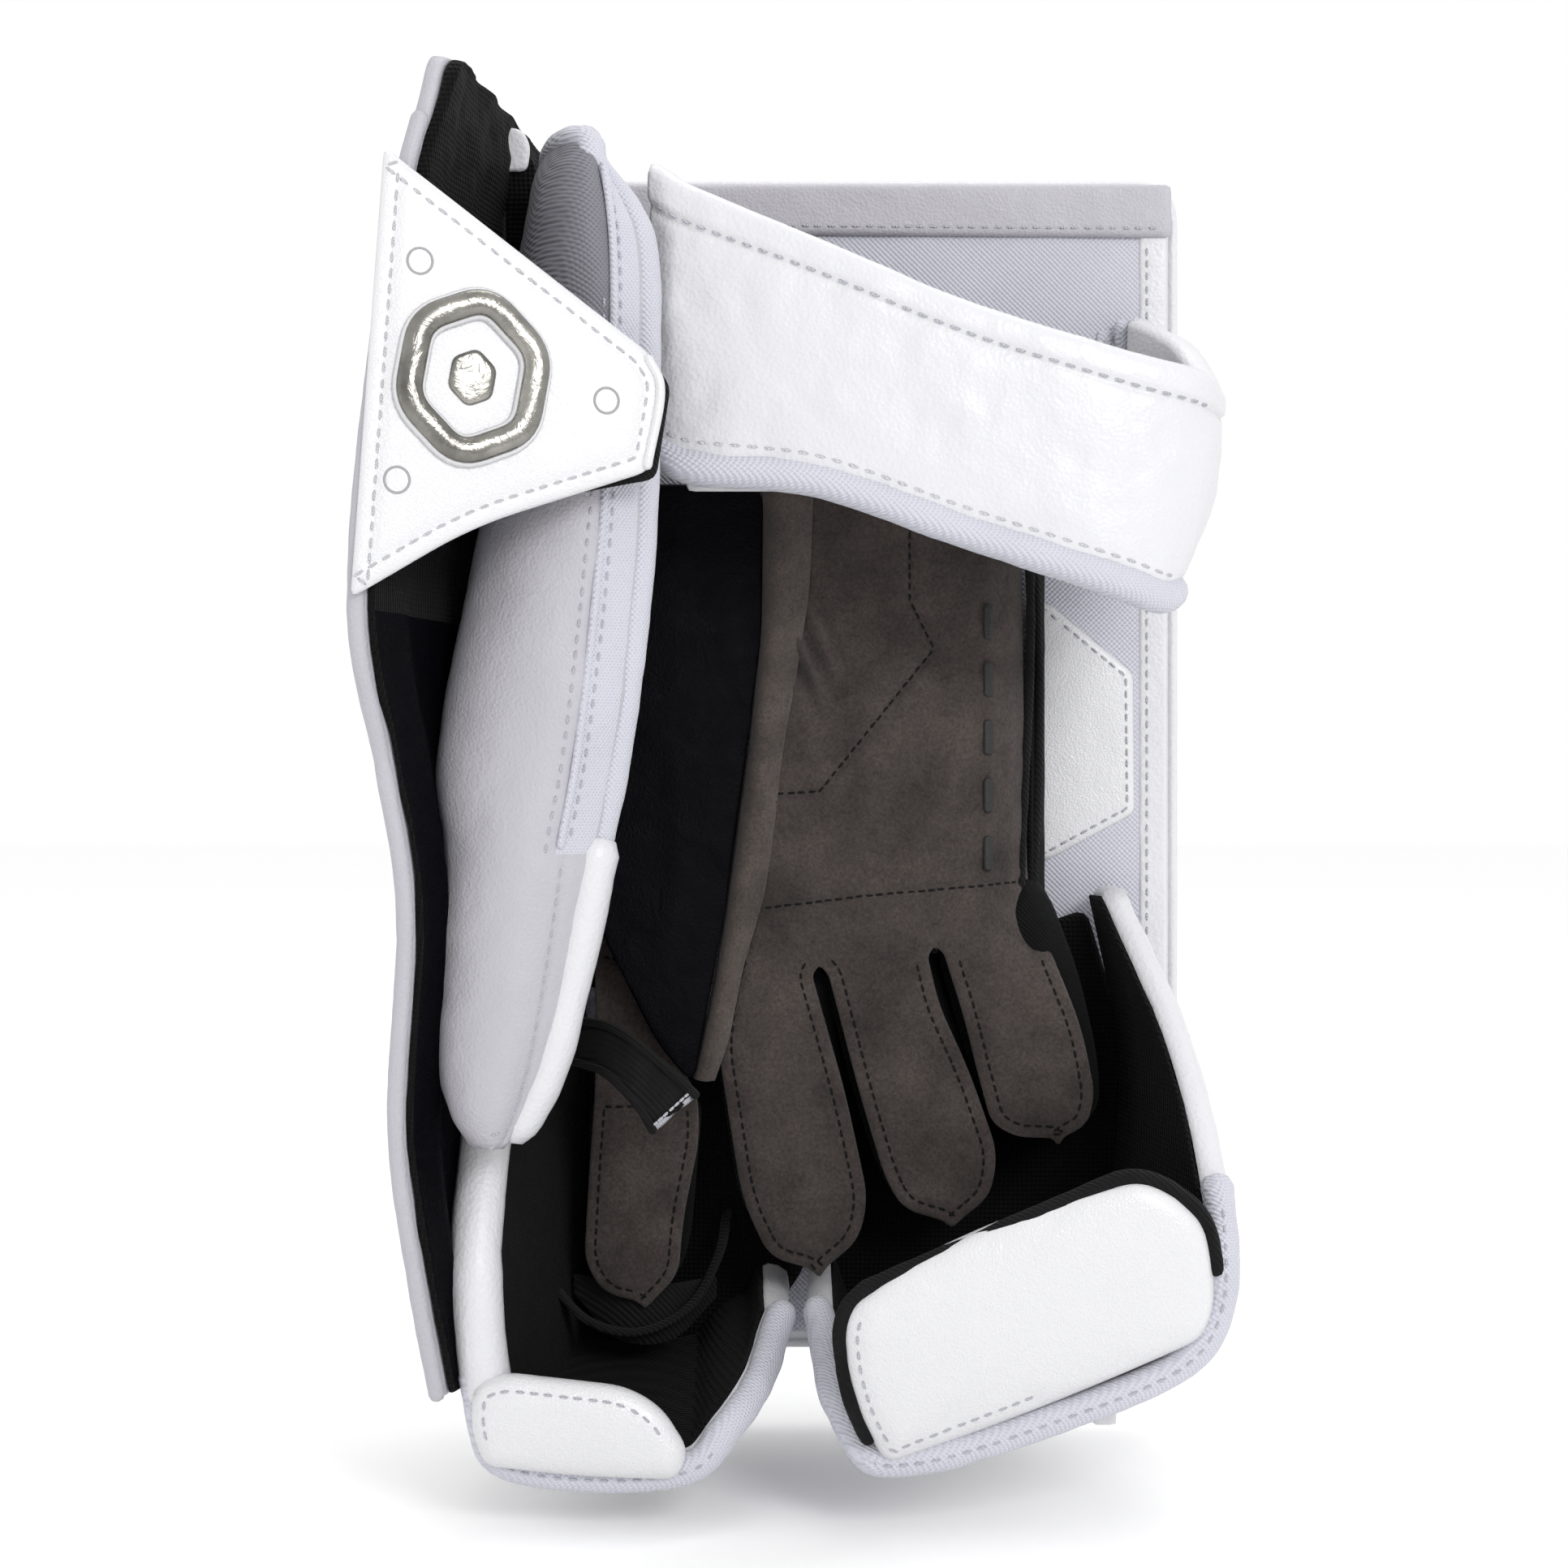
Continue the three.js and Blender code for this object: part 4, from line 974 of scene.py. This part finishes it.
# ---------- palm, web and fingers ----------
PALM = [(-20, 102, 2), (-20.5, 76, 10), (-22, 52, 10), (-26.5, 26, 10), (-31, 2, 10), (-35.5, -40, 10),
        (-44.5, -68, 8), (-47.3, -88, 8), (-39.5, -137, 10), (-31, -155, 8), (-19, -158.3, 1),
        (-15.4, -161.3, 0.5), (-12.6, -157.6, 1), (-3, -149.5, 7), (-0.2, -136, 9), (-7.2, -103.5, 9),
        (-17.8, -66, 2), (-15.4, -63, 1), (-12.6, -66, 2), (-2.8, -103.5, 9), (4.8, -128.7, 8),
        (10.4, -139.5, 6), (22.5, -143, 1), (26.3, -145.6, 0.5), (29.3, -142.6, 1), (38, -135.5, 7),
        (40.4, -122, 9), (31.3, -96, 9), (22.0, -75.7, 6), (18.2, -60, 2), (20.4, -57, 1), (23.2, -59, 2),
        (29.4, -78, 8), (34.4, -98.4, 8), (38.3, -112.5, 5), (46, -116.8, 4), (57.3, -117.2, 1),
        (59.2, -119.6, 0.5), (61, -116.8, 1), (68.2, -113, 7), (70.6, -103.5, 8), (66.7, -83.3, 9),
        (57.8, -60.5, 9), (52.3, -43, 6), (50.3, -35, 6), (48.4, 60, 10), (48, 102, 2)]
PALM_SEAMS = [np.array(line, float) for line in (
    [(-36.5, -45.5), (0, -41), (49, -37)],
    [(12.4, 104), (12.4, 50.6), (20, 35.4), (-15.4, -8.8), (-28, -9.5), (-32, -10)])]
PALM_BEND = ("blocker_board", "finger_guard", (0, -12, -50), (0, -12, -74))


def palm_y(x, z):
    """The y of the palm, which runs down into the stalls."""
    palm = np.interp(x, [-47, -37, -2, 25, 37, 44, 51, 60], [41, 42.4, 45.2, 44.6, 42.3, 38, 30, 24])
    stalls = 39.5 - 3.5 * np.clip((-95 - z) / 60, 0, 1) ** 2
    k = np.clip((-44 - z) / 28, 0, 1)
    k = k * k * (3 - 2 * k)
    return BACK - (palm * (1 - k) + stalls * k)


def palm_swell(x, z, d):
    """Height added to the palm: swollen stalls, sunk seams, folds by the thumb, puckers at the knuckles."""
    stalls = 2.6 * (1 - np.exp(-d / 5)) * np.clip((-62 - z) / 20, 0, 1)
    rise = stalls
    for line in PALM_SEAMS:
        near = to_line(line, np.stack([x, z], 1))
        rise = rise - 0.9 * hump(near, 0, 1.3) + 0.35 * hump(near, 2.6, 1.5)
    rise = rise - 0.5 * hump(d, 3.9, 0.8) * (z < -66)
    folds = np.exp(-((x + 19) / 7) ** 2 - ((z - 36) / 16) ** 2)
    rise = rise + 2.6 * folds * np.sin((x * 0.8 + z * 0.35))
    return rise + 0.9 * hump(z, -84, 6) * np.sin(x * 0.35)


def make_palm():
    """The suede palm with its three stalls in one sheet, its stitches and its grip dashes."""
    board, guard = "blocker_board", "finger_guard"
    outline = rounded(PALM, 4, 1.3)
    palm = filled("palm_and_stalls", outline, palm_y, 1.2, 1.0, SUEDE, edge=0.9, step=1.45, wrinkle=1.5,
                  size=24, seed=51, pull=palm_swell)
    fit(palm, PALM_BEND,
        ["palm_panel", "palm_overlay", "finger_1_palm", "finger_2_palm", "finger_3_palm"], sheet="stretched")
    runs, run = [], []
    for q in inset(outline, 3.9):
        if q[1] < -60:
            run.append(q)
        elif run:
            runs.append(run)
            run = []
    for i, run in enumerate([run for run in runs if len(run) > 12]):
        sew(f"stall_stitches_{i + 1}", palm, run, BLACK_THREAD, guard, pitch=3.4, length=2.5, radius=0.4)
    for line, name in zip(PALM_SEAMS, ("cross", "overlay")):
        sew(f"palm_{name}_stitches", palm, line, BLACK_THREAD, board, pitch=3.2, length=2.3, radius=0.38)
    for i in range(5):
        dash = rectangle(35.5, 38.5, 38.5 - 18 * i, 49.5 - 18 * i, 1.4, 0.8)
        fit(filled(f"palm_grip_{i + 1}", dash, lambda x, z: palm_y(x, z) - 1.6, 0.7, 1.2, DARK_PRINT,
                   edge=0.8, step=0.9), board)


def make_palm_edge():
    """The suede edge towards the thumb, and the piping and lining on the other side."""
    board = "blocker_board"
    # z, then the strip's two sides in x
    ridge = [(102, -32, -19.5), (76, -32, -19.5), (54, -32, -20.7), (28, -33.7, -24.5), (3, -35.7, -29),
             (-18, -38.8, -31.3), (-40, -42, -34.6), (-62, -45.2, -40.9), (-84, -49.6, -45.4),
             (-98, -52.9, -50)]
    rows = [[(a - 0.5, -14, z), ((a + b) / 2 - (b - a) * 0.2, -19.8 - 0.18 * (b - a), z), (b + 1, -18.0, z)]
            for z, a, b in ridge]
    strip = Patch(rows, 22, 150)
    pucker = lambda u, v, p: (1.0 * hump(u, 0.62, 0.1) * np.sin(p[..., 2] * 0.5)
                              * hump(p[..., 2], 30, 22) - 1.2 * hump(u, 0.86, 0.07))
    edge = shell("palm_edge_strip", strip, 0, 1.8, [SUEDE_EDGE], puff=1.0, wrinkle=1.0, size=20, seed=52,
                 lift=pucker)
    fit(edge, PALM_BEND, sheet="folded")
    p, n = strip.line(0.86, (0.02, 0.55), 120, 0.4)
    stitches("palm_edge_stitches", p, n, BLACK_THREAD, board, pitch=3.4, radius=0.38)
    for i, (x, h) in enumerate(((49.6, 33.5), (52.8, 29))):
        cord = [at(x + 1.5 * math.sin(z / 30 + i), h, z) for z in np.linspace(98, -38, 60)]
        fit(tube(f"palm_piping_{i + 1}", cord, 1.5, ELASTIC, 10, wobble=0.2, seed=53 + i), board,
            ["palm_edge_piping"] if i == 0 else ())
    side = [[at(50.5, 31, z), at(55.5, 20, z), at(55, 3, z)] for z in (104, 50, 0, -44)]
    wall = shell("palm_side_lining", Patch(side, 14, 50), 0, 1.4, [TWILL], wrinkle=0.8, size=16, seed=56)
    fit(wall, board, sheet="stretched")


# the outlines of the stalls' black backs
STALL_BACKS = [[(-45, -70), (-13, -64), (-8, -104), (0, -137), (-4, -150), (-18, -158), (-31, -155),
                (-41, -137),
                (-48, -92)],
               [(-15, -63), (19, -56), (31, -94), (41, -122), (38, -136), (26, -143), (10, -140), (3, -128),
                (-5, -103)],
               [(21, -56), (50, -32), (58, -42), (67, -66), (73, -92), (74, -108), (68, -116), (57, -118),
                (38, -113), (33, -98), (27, -78)]]


def make_hand_lining():
    """The cushion at the back of the hand, the web by the thumb, and the backs of the stalls."""
    board = "blocker_board"
    pad = filled("hand_back_cushion", box_outline("hand_back_pad", 14, -1), level(middle("hand_back_pad")),
                 3.6, 3.6, TWILL, edge=5, crown=0.6, step=3.4)
    fit(inflate(pad, 2.5, 14, 1.2), board, ["hand_back_pad"])
    web = rounded([(-80, 86), (-33, 86), (-33.5, 40), (-38.5, 0), (-44.5, -44), (-54.5, -100), (-66, -86),
                   (-83, -52),
                   (-84, 20)], 6, 2)
    web_y = lambda x, z: BACK - np.interp(x, [-84, -60, -36], [50, 48.5, 44])
    skin = filled("thumb_web_lining", web, web_y, 0.9, 0.9, SATIN, edge=1, step=2.2, wrinkle=1.3, size=34,
                  seed=57)
    fit(skin, board, ["thumb_web"], sheet="stretched")
    for i, points in enumerate(STALL_BACKS, 1):
        back = filled(f"finger_back_{i}", rounded(points, 8, 2), level(BACK - 26), 9.5, 10, TWILL, edge=9,
                      crown=0, step=2.4, wrinkle=0.6, size=12, seed=59 + i)
        fit(inflate(back, 2.5, 12, 1.0), "finger_guard", [f"finger_{i}_back"])


def make_thumb():
    """The thumb's suede stall with its base, and its black back."""
    board, guard = "blocker_board", "thumb_guard"
    outline = rounded([(-86, -44, 3), (-70, -44, 3), (-66, -85, 8), (-53.5, -103, 5), (-52.8, -117, 8),
                       (-58, -142, 8),
                       (-59.5, -160, 6), (-67, -168, 2), (-70, -171, 0.5), (-73, -168.5, 2), (-83, -166, 6),
                       (-89, -156, 6),
                       (-87.5, -130, 8), (-85.5, -102, 8)], 4, 1.3)
    y_of = lambda x, z: BACK - np.interp(z, [-168, -150, -108, -92, -44], [36.5, 39, 39.5, 37, 36])
    swell = lambda x, z, d: (2.4 * (1 - np.exp(-d / 5)) - 0.5 * hump(d, 3.4, 0.8)
                             - 0.9 * np.exp(-((z + 62 + 0.2 * (x + 78)) / 1.2) ** 2))
    stall = filled("thumb_stall", outline, y_of, 1.2, 1.0, SUEDE, edge=0.9, step=1.5, wrinkle=1.1, size=15,
                   seed=71, pull=swell)
    fit(stall, (board, guard, (0, -12, -88), (0, -12, -108)), ["thumb_base_palm", "thumb_stall_palm"],
        sheet="stretched")
    rim = opened([q for q in inset(outline, 3.4) if q[1] < -106])
    sew("thumb_stitches", stall, rim, BLACK_THREAD, guard, pitch=3.4, length=2.5,
        radius=0.4)
    sew("thumb_seam_stitches", stall, [(-84, -60.5), (-71, -63)], BLACK_THREAD, board, pitch=3.2)
    back = filled("thumb_back", rounded([(-88, -104), (-52, -104), (-56, -150), (-60, -163), (-72, -169),
                                         (-86, -163),
                                         (-89, -150)], 8, 2), level(BACK - 26), 9.5, 10, TWILL, edge=9,
                  step=2.4)
    fit(back, guard, ["thumb_stall_back"])


def make_thumb_loop():
    """The elastic loop across the thumb, and the flat elastic round its tip."""
    board = "blocker_board"
    upper = [(-91, -26, -78), (-77, -39, -80), (-63, -42.5, -90), (-52.5, -42, -99.5)]
    lower = [(-91.5, -26, -92), (-80, -39, -94.5), (-70.5, -42.5, -104), (-66.5, -42, -111)]
    band = Patch([lower, [tuple((np.array(a) + b) / 2) for a, b in zip(upper, np.array(lower))], upper], 50,
                 20)
    loop = shell("thumb_elastic_loop", band, 0, 2.2, [ELASTIC], puff=0.8, wrinkle=0.4, size=10, seed=72)
    fit(loop, board, ["thumb_loop"], sheet="stretched")
    for k, v in enumerate((0.04, 0.96)):
        p, n = band.line((0, 1), v, 60, -0.6)
        fit(tube(f"thumb_loop_cord_{k + 1}", p, 1.35, ELASTIC, 8, wobble=0.2), board)
    p, n = band.line(0.955, (0.05, 0.95), 30, -0.9)
    stitches("thumb_loop_stitches", p, n, THREAD, board, pitch=2.2, length=2.0, radius=0.45)
    p, _ = band.line(0.985, (0.05, 0.95), 30, 1)
    fit(tube("thumb_loop_end", p, 1.2, GREY_THREAD, 8, wobble=0.4), board)
    ring = [(-103, 6, -146), (-101, -6, -160), (-88, -13, -174), (-72, -14, -177.5), (-56, -12, -170),
            (-47, -4, -155),
            (-45, 8, -145)]
    path = rows_at(np.array(ring, float), np.linspace(0, 1, 80))
    fit(tube("thumb_tip_elastic", path, 2.6, ELASTIC, 10, flat=0.45, wobble=0.2), "thumb_guard",
        ["thumb_elastic"])


# ---------- guards ----------
STALL_ROOT, STALL_LENGTH, STALL_LEAN = -66, 95, math.radians(8)
TIP_ROOM, LIP = 28, 18


def finger_rows():
    """The finger guard's wall, from beside the palm round the tips to beside the first finger."""
    lowest = STALL_ROOT - STALL_LENGTH * math.cos(STALL_LEAN) - TIP_ROOM - LIP
    right, left, depth, root = RIGHT - 1, -22.0, 94, 8
    rim = [(right - 17, -41, 18), (right - 2, -87, 58), (right + 3, lowest + 72, depth),
           (right + 2, lowest + 47, depth),
           (right - 8, lowest + 31, depth), ((right + 1 + left) / 2 + 10, lowest + 12, depth),
           (left + 34, lowest + 1, depth),
           (left + 20, lowest + 1, depth - 3), (left + 9, lowest + 14, depth - 16),
           (left + 3, lowest + 34, 48)]
    rows = []
    for i, (x, z, edge) in enumerate(rim):
        rise = 14 * min(max((lowest + 70 - z) / 60, 0), 1)
        lean = 13 * (edge - root) / (depth - root) if i < 5 else 0
        rows.append([at(x - lean, root, z + rise), at(x - lean / 2, (edge + root) / 2, z + rise / 2),
                     at(x, edge, z)])
    return rows


def thumb_rows():
    """The thumb guard's wall, from beside the side board round the thumb's tip."""
    tx, tz, depth, root = -68, -100, 88, 8
    low = tz - 68 - 44
    rim = [(beside(tz + up, depth - drop, -3), tz + up, depth - drop) for up,
           drop in ((22, 30), (-20, 16), (-50, 3))]
    rim += [(tx - 51, low + 26, depth), (tx - 45, low + 7, depth), (tx - 12, low, depth),
            (tx + 18, low + 4, depth),
            (tx + 28, low + 14, depth - 6), (tx + 38, low + 26, 62), (tx + 43, low + 37, 44)]
    rows = []
    for i, (x, z, edge) in enumerate(rim):
        base = beside(max(z, -0.9 * HALF), root, 4)
        rx = base if i < 4 else max(x, base)
        rise = 0 if i < 3 else 14 * (1 if i < 8 else 0.6)
        rows.append([at(x, edge, z), at((x + rx) / 2, (edge + root) / 2, z + rise / 2),
                     at(rx, root, z + rise)])
    return rows


GUARD_PITCH = 4.6
RIM_RADIUS = 4.8


def guard_rim(name, path, seed):
    """A guard's rolled mesh binding, and the stitches on the side that faces the palm."""
    body = name + "_guard"
    rim = tube(body + "_rim", path, RIM_RADIUS, MESH, 14, wobble=0.35, seed=seed)
    fit(rim, body, [body + "_binding"])
    line = path + np.array([0, 0.1 - RIM_RADIUS, 0])
    stitches(name + "_rim_stitches", line, np.tile([0, -1, 0], (len(path), 1)), GREY_THREAD, body,
             pitch=GUARD_PITCH)


def guard_stitches(body, patch, rows, first):
    """Rows of stitches round a guard's cover."""
    for k, u in enumerate(rows):
        p, n = patch.line(u, (first, 0.9), 160, -0.9)
        stitches(f"{body}_stitches_{k + 1}", p, n, GREY_THREAD, body, pitch=GUARD_PITCH)


def make_finger_guard():
    """The padded wall round the fingertips, with its lining."""
    body = "finger_guard"
    patch = Patch(finger_rows(), 44, 150)
    outer = shell("finger_guard_cover", patch, 0, 8.2, [WHITE, MESH, KNIT], puff=1.8, wrinkle=0.6, size=24,
                  seed=81, roll=0.6, pick=lambda u, v, p: (1 if v > 0.72 else 0, 2))
    fit(outer, body, ["finger_guard_skin", "finger_guard_foam"])
    liner = shell("finger_guard_lining", patch, 8.3, 9.8, [KNIT], wrinkle=0.7, size=18, seed=82)
    fit(liner, body, ["finger_guard_liner"], sheet="stretched")
    guard_rim("finger", patch.edge(1, 0.20, 1, 120, 4.2, 2.6), 83)
    guard_stitches(body, patch, (0.90, 0.45), 0.1)


def make_finger_pad():
    """The glossy pad over the fingertips, with its stitches and black trim."""
    body = "finger_guard"
    pad_line = rounded([(-10, -163, 8), (-7.5, -155.5, 8), (4.5, -146.3, 14), (27.7, -134.7, 20),
                        (62, -122, 14),
                        (75, -119, 8), (84, -122.5, 9), (94, -131, 7), (97, -145, 10), (97, -157, 8),
                        (93.5, -166, 6),
                        (50.8, -184, 20), (3, -202.5, 4), (-4.5, -190, 10), (-8.8, -176, 12)], 8, 1.8)
    slope = lambda x, z: -74.0 - 0.05 * (z + 160)
    groove = lambda x, z, d: -0.8 * hump(d, 4.2, 1.0) * (z < -0.46 * x - 160)
    pad = filled("finger_tip_pad", pad_line, slope, 5.5, 4.5, GLOSS, edge=6, crown=2.2, crown_at=16,
                 step=2.4, wrinkle=0.25, size=26, seed=84, pull=groove)
    fit(inflate(pad, 3.0, 14, 1.6), body, ["finger_guard_lip"])
    lower = opened([q for q in inset(pad_line, 4.2) if q[1] < -0.46 * q[0] - 160])
    sew("finger_pad_stitches", pad, lower, GREY_THREAD, body)
    trim = opened([(x, z) for x, z in inset(pad_line, -0.6)
                   if z > -0.62 * x - 195 and z > -0.9 * (x - 96) - 145 or x < -2])
    path = np.array([(x, slope(x, z) - 1.2, z) for x, z in trim])
    fit(tube("finger_pad_trim", path, 2.5, ELASTIC, 10, wobble=0.3, seed=85), body, ["finger_guard_trim"])


def make_finger_floor():
    """The black floor behind the stalls, and the white pull tab."""
    body = "finger_guard"
    back = rounded([(-21, -66), (39, -60), (58, -52), (72, -47), (83, -84), (84, -130), (82, -154),
                    (66, -173), (12, -187), (-5, -179),
                    (-16, -160)], 5, 2.5)
    fit(filled("finger_guard_floor", back, level(middle("finger_guard_back")), 3, 3, KNIT, edge=3, step=3.2,
               wrinkle=0.5),
        body, ["finger_guard_back"])
    tab = filled("finger_guard_tab", box_outline("guard_pull_tab", 1, 0.8), level(middle("guard_pull_tab")),
                 1.3, 1.3, WHITE, edge=1.2, step=1.2)
    fit(tab, body, ["guard_pull_tab"], sheet="stretched")


def make_thumb_guard():
    """The padded wall round the thumb, with its lining and rolled edge."""
    body = "thumb_guard"
    patch = Patch(thumb_rows(), 44, 150)
    outer = shell("thumb_guard_cover", patch, 0, 9.3, [WHITE, MESH, KNIT], puff=1.8, wrinkle=0.6, size=24,
                  seed=91, roll=0.5, pick=lambda u, v, p: (1 if v > 0.70 else 0, 2))
    fit(outer, body, ["thumb_guard_skin", "thumb_guard_foam"])
    liner = shell("thumb_guard_lining", patch, 9.4, 10.9, [KNIT, TWILL], wrinkle=0.7, size=18, seed=92,
                  pick=lambda u, v, p: (1, 1) if v < 0.42 else (0, 0))
    fit(liner, body, ["thumb_guard_liner"], sheet="stretched")
    guard_rim("thumb", patch.edge(0, 0.31, 1, 110, 4.6, 2.6), 93)
    path = patch.edge(0, 0.03, 0.33, 60, 6.8, 0.5)
    edge = tube("thumb_guard_edge_roll", path, 7.6, WHITE, 14, wobble=0.3, seed=94)
    fit(edge, body)
    guard_stitches(body, patch, (0.10, 0.55), 0.05)


def make_thumb_pad():
    """The glossy pad over the thumb's tip, and its stitches."""
    body = "thumb_guard"
    pad_line = rounded([(-116.5, -180, 5), (-107.5, -176.5, 10), (-72.4, -180.5, 14), (-61.8, -186.5, 10),
                        (-54, -199, 7),
                        (-57, -207.5, 5), (-86, -206.5, 10), (-113, -203.5, 4), (-117, -193, 8)], 6, 1.6)
    groove = lambda x, z, d: -0.8 * hump(d, 4.0, 1.0) * (z > -188)
    pad = filled("thumb_tip_pad", pad_line, level(-70), 4.8, 4, GLOSS, edge=5, crown=1.8, crown_at=10,
                 step=2.1, wrinkle=0.3, size=22, seed=95, pull=groove)
    fit(inflate(pad, 3.0, 14, 1.4), body, ["thumb_guard_lip"])
    sew("thumb_pad_stitches", pad, opened([q for q in inset(pad_line, 4.0) if q[1] > -197]), GREY_THREAD,
        body)


def make_thumb_floor():
    """The black floor behind the thumb, and the elastic band at its tip."""
    body = "thumb_guard"
    floor = rounded([(-99, -100), (-24, -100), (-22, -140), (-18, -160), (-24, -171), (-40, -186),
                     (-98, -190), (-104, -170)],
                    5, 2.5)
    fit(filled("thumb_guard_floor", floor, level(middle("thumb_guard_back")), 3, 3, KNIT, edge=3, step=3.2,
               wrinkle=0.5),
        body, ["thumb_guard_back"])
    rows = [[(-93, -3, -165 + up), (-78, -9, sag + up), (-62, -9, sag + up), (-48, -3, -166 + up)]
            for up, sag in ((-3, -178), (0, -173), (3, -167))]
    strap = shell("thumb_tip_band", Patch(rows, 40, 10), 0, 1.8, [ELASTIC], puff=0.5)
    fit(strap, body, sheet="stretched")


# ---------- stage ----------
def make_stage():
    """A pale floor, an even white world, three area lamps and the camera in front of the palm."""
    low = cad_box[0][2] - 0.012
    mesh = bpy.data.meshes.new("floor")
    mesh.from_pydata([(-8, -8, low), (8, -8, low), (8, 8, low), (-8, 8, low)], [], [(0, 1, 2, 3)])
    mesh.materials.append(STAGE)
    floor = bpy.data.objects.new("floor", mesh)
    scene.collection.objects.link(floor)
    world = bpy.data.worlds.new("studio")
    scene.world = world
    world.use_nodes = True
    back = world.node_tree.nodes["Background"]
    back.inputs[0].default_value = (1, 1, 1, 1)
    back.inputs[1].default_value = 1.0
    for name, place, size, power in (("key", (0.9, -1.7, 0.9), 0.7, 17), ("fill", (-1.5, -0.9, 0.1), 1.4, 2),
                                     ("top", (0.2, 0.3, 1.7), 1.0, 7)):
        data = bpy.data.lights.new(name, "AREA")
        data.size, data.energy = size, power
        lamp = bpy.data.objects.new(name, data)
        lamp.location = place
        lamp.rotation_euler = (Vector((0, 0, 0)) - Vector(place)).to_track_quat("-Z", "Y").to_euler()
        scene.collection.objects.link(lamp)
    data = bpy.data.cameras.new("camera")
    data.sensor_width, data.lens = 36, 55.9
    camera = bpy.data.objects.new("camera", data)
    camera.location = (-0.0265, -0.774, -0.0065)
    camera.rotation_euler = (math.radians(90), 0, 0)
    scene.collection.objects.link(camera)
    scene.camera = camera
    scene.view_settings.view_transform = "Standard"


for make in (make_stage, make_board, make_back_patches, make_face, make_side_board, make_side_trims,
             make_flap,
             make_wing, make_strap, make_palm, make_palm_edge, make_hand_lining, make_thumb, make_thumb_loop,
             make_finger_guard, make_finger_pad, make_finger_floor, make_thumb_guard, make_thumb_pad,
             make_thumb_floor):
    make()
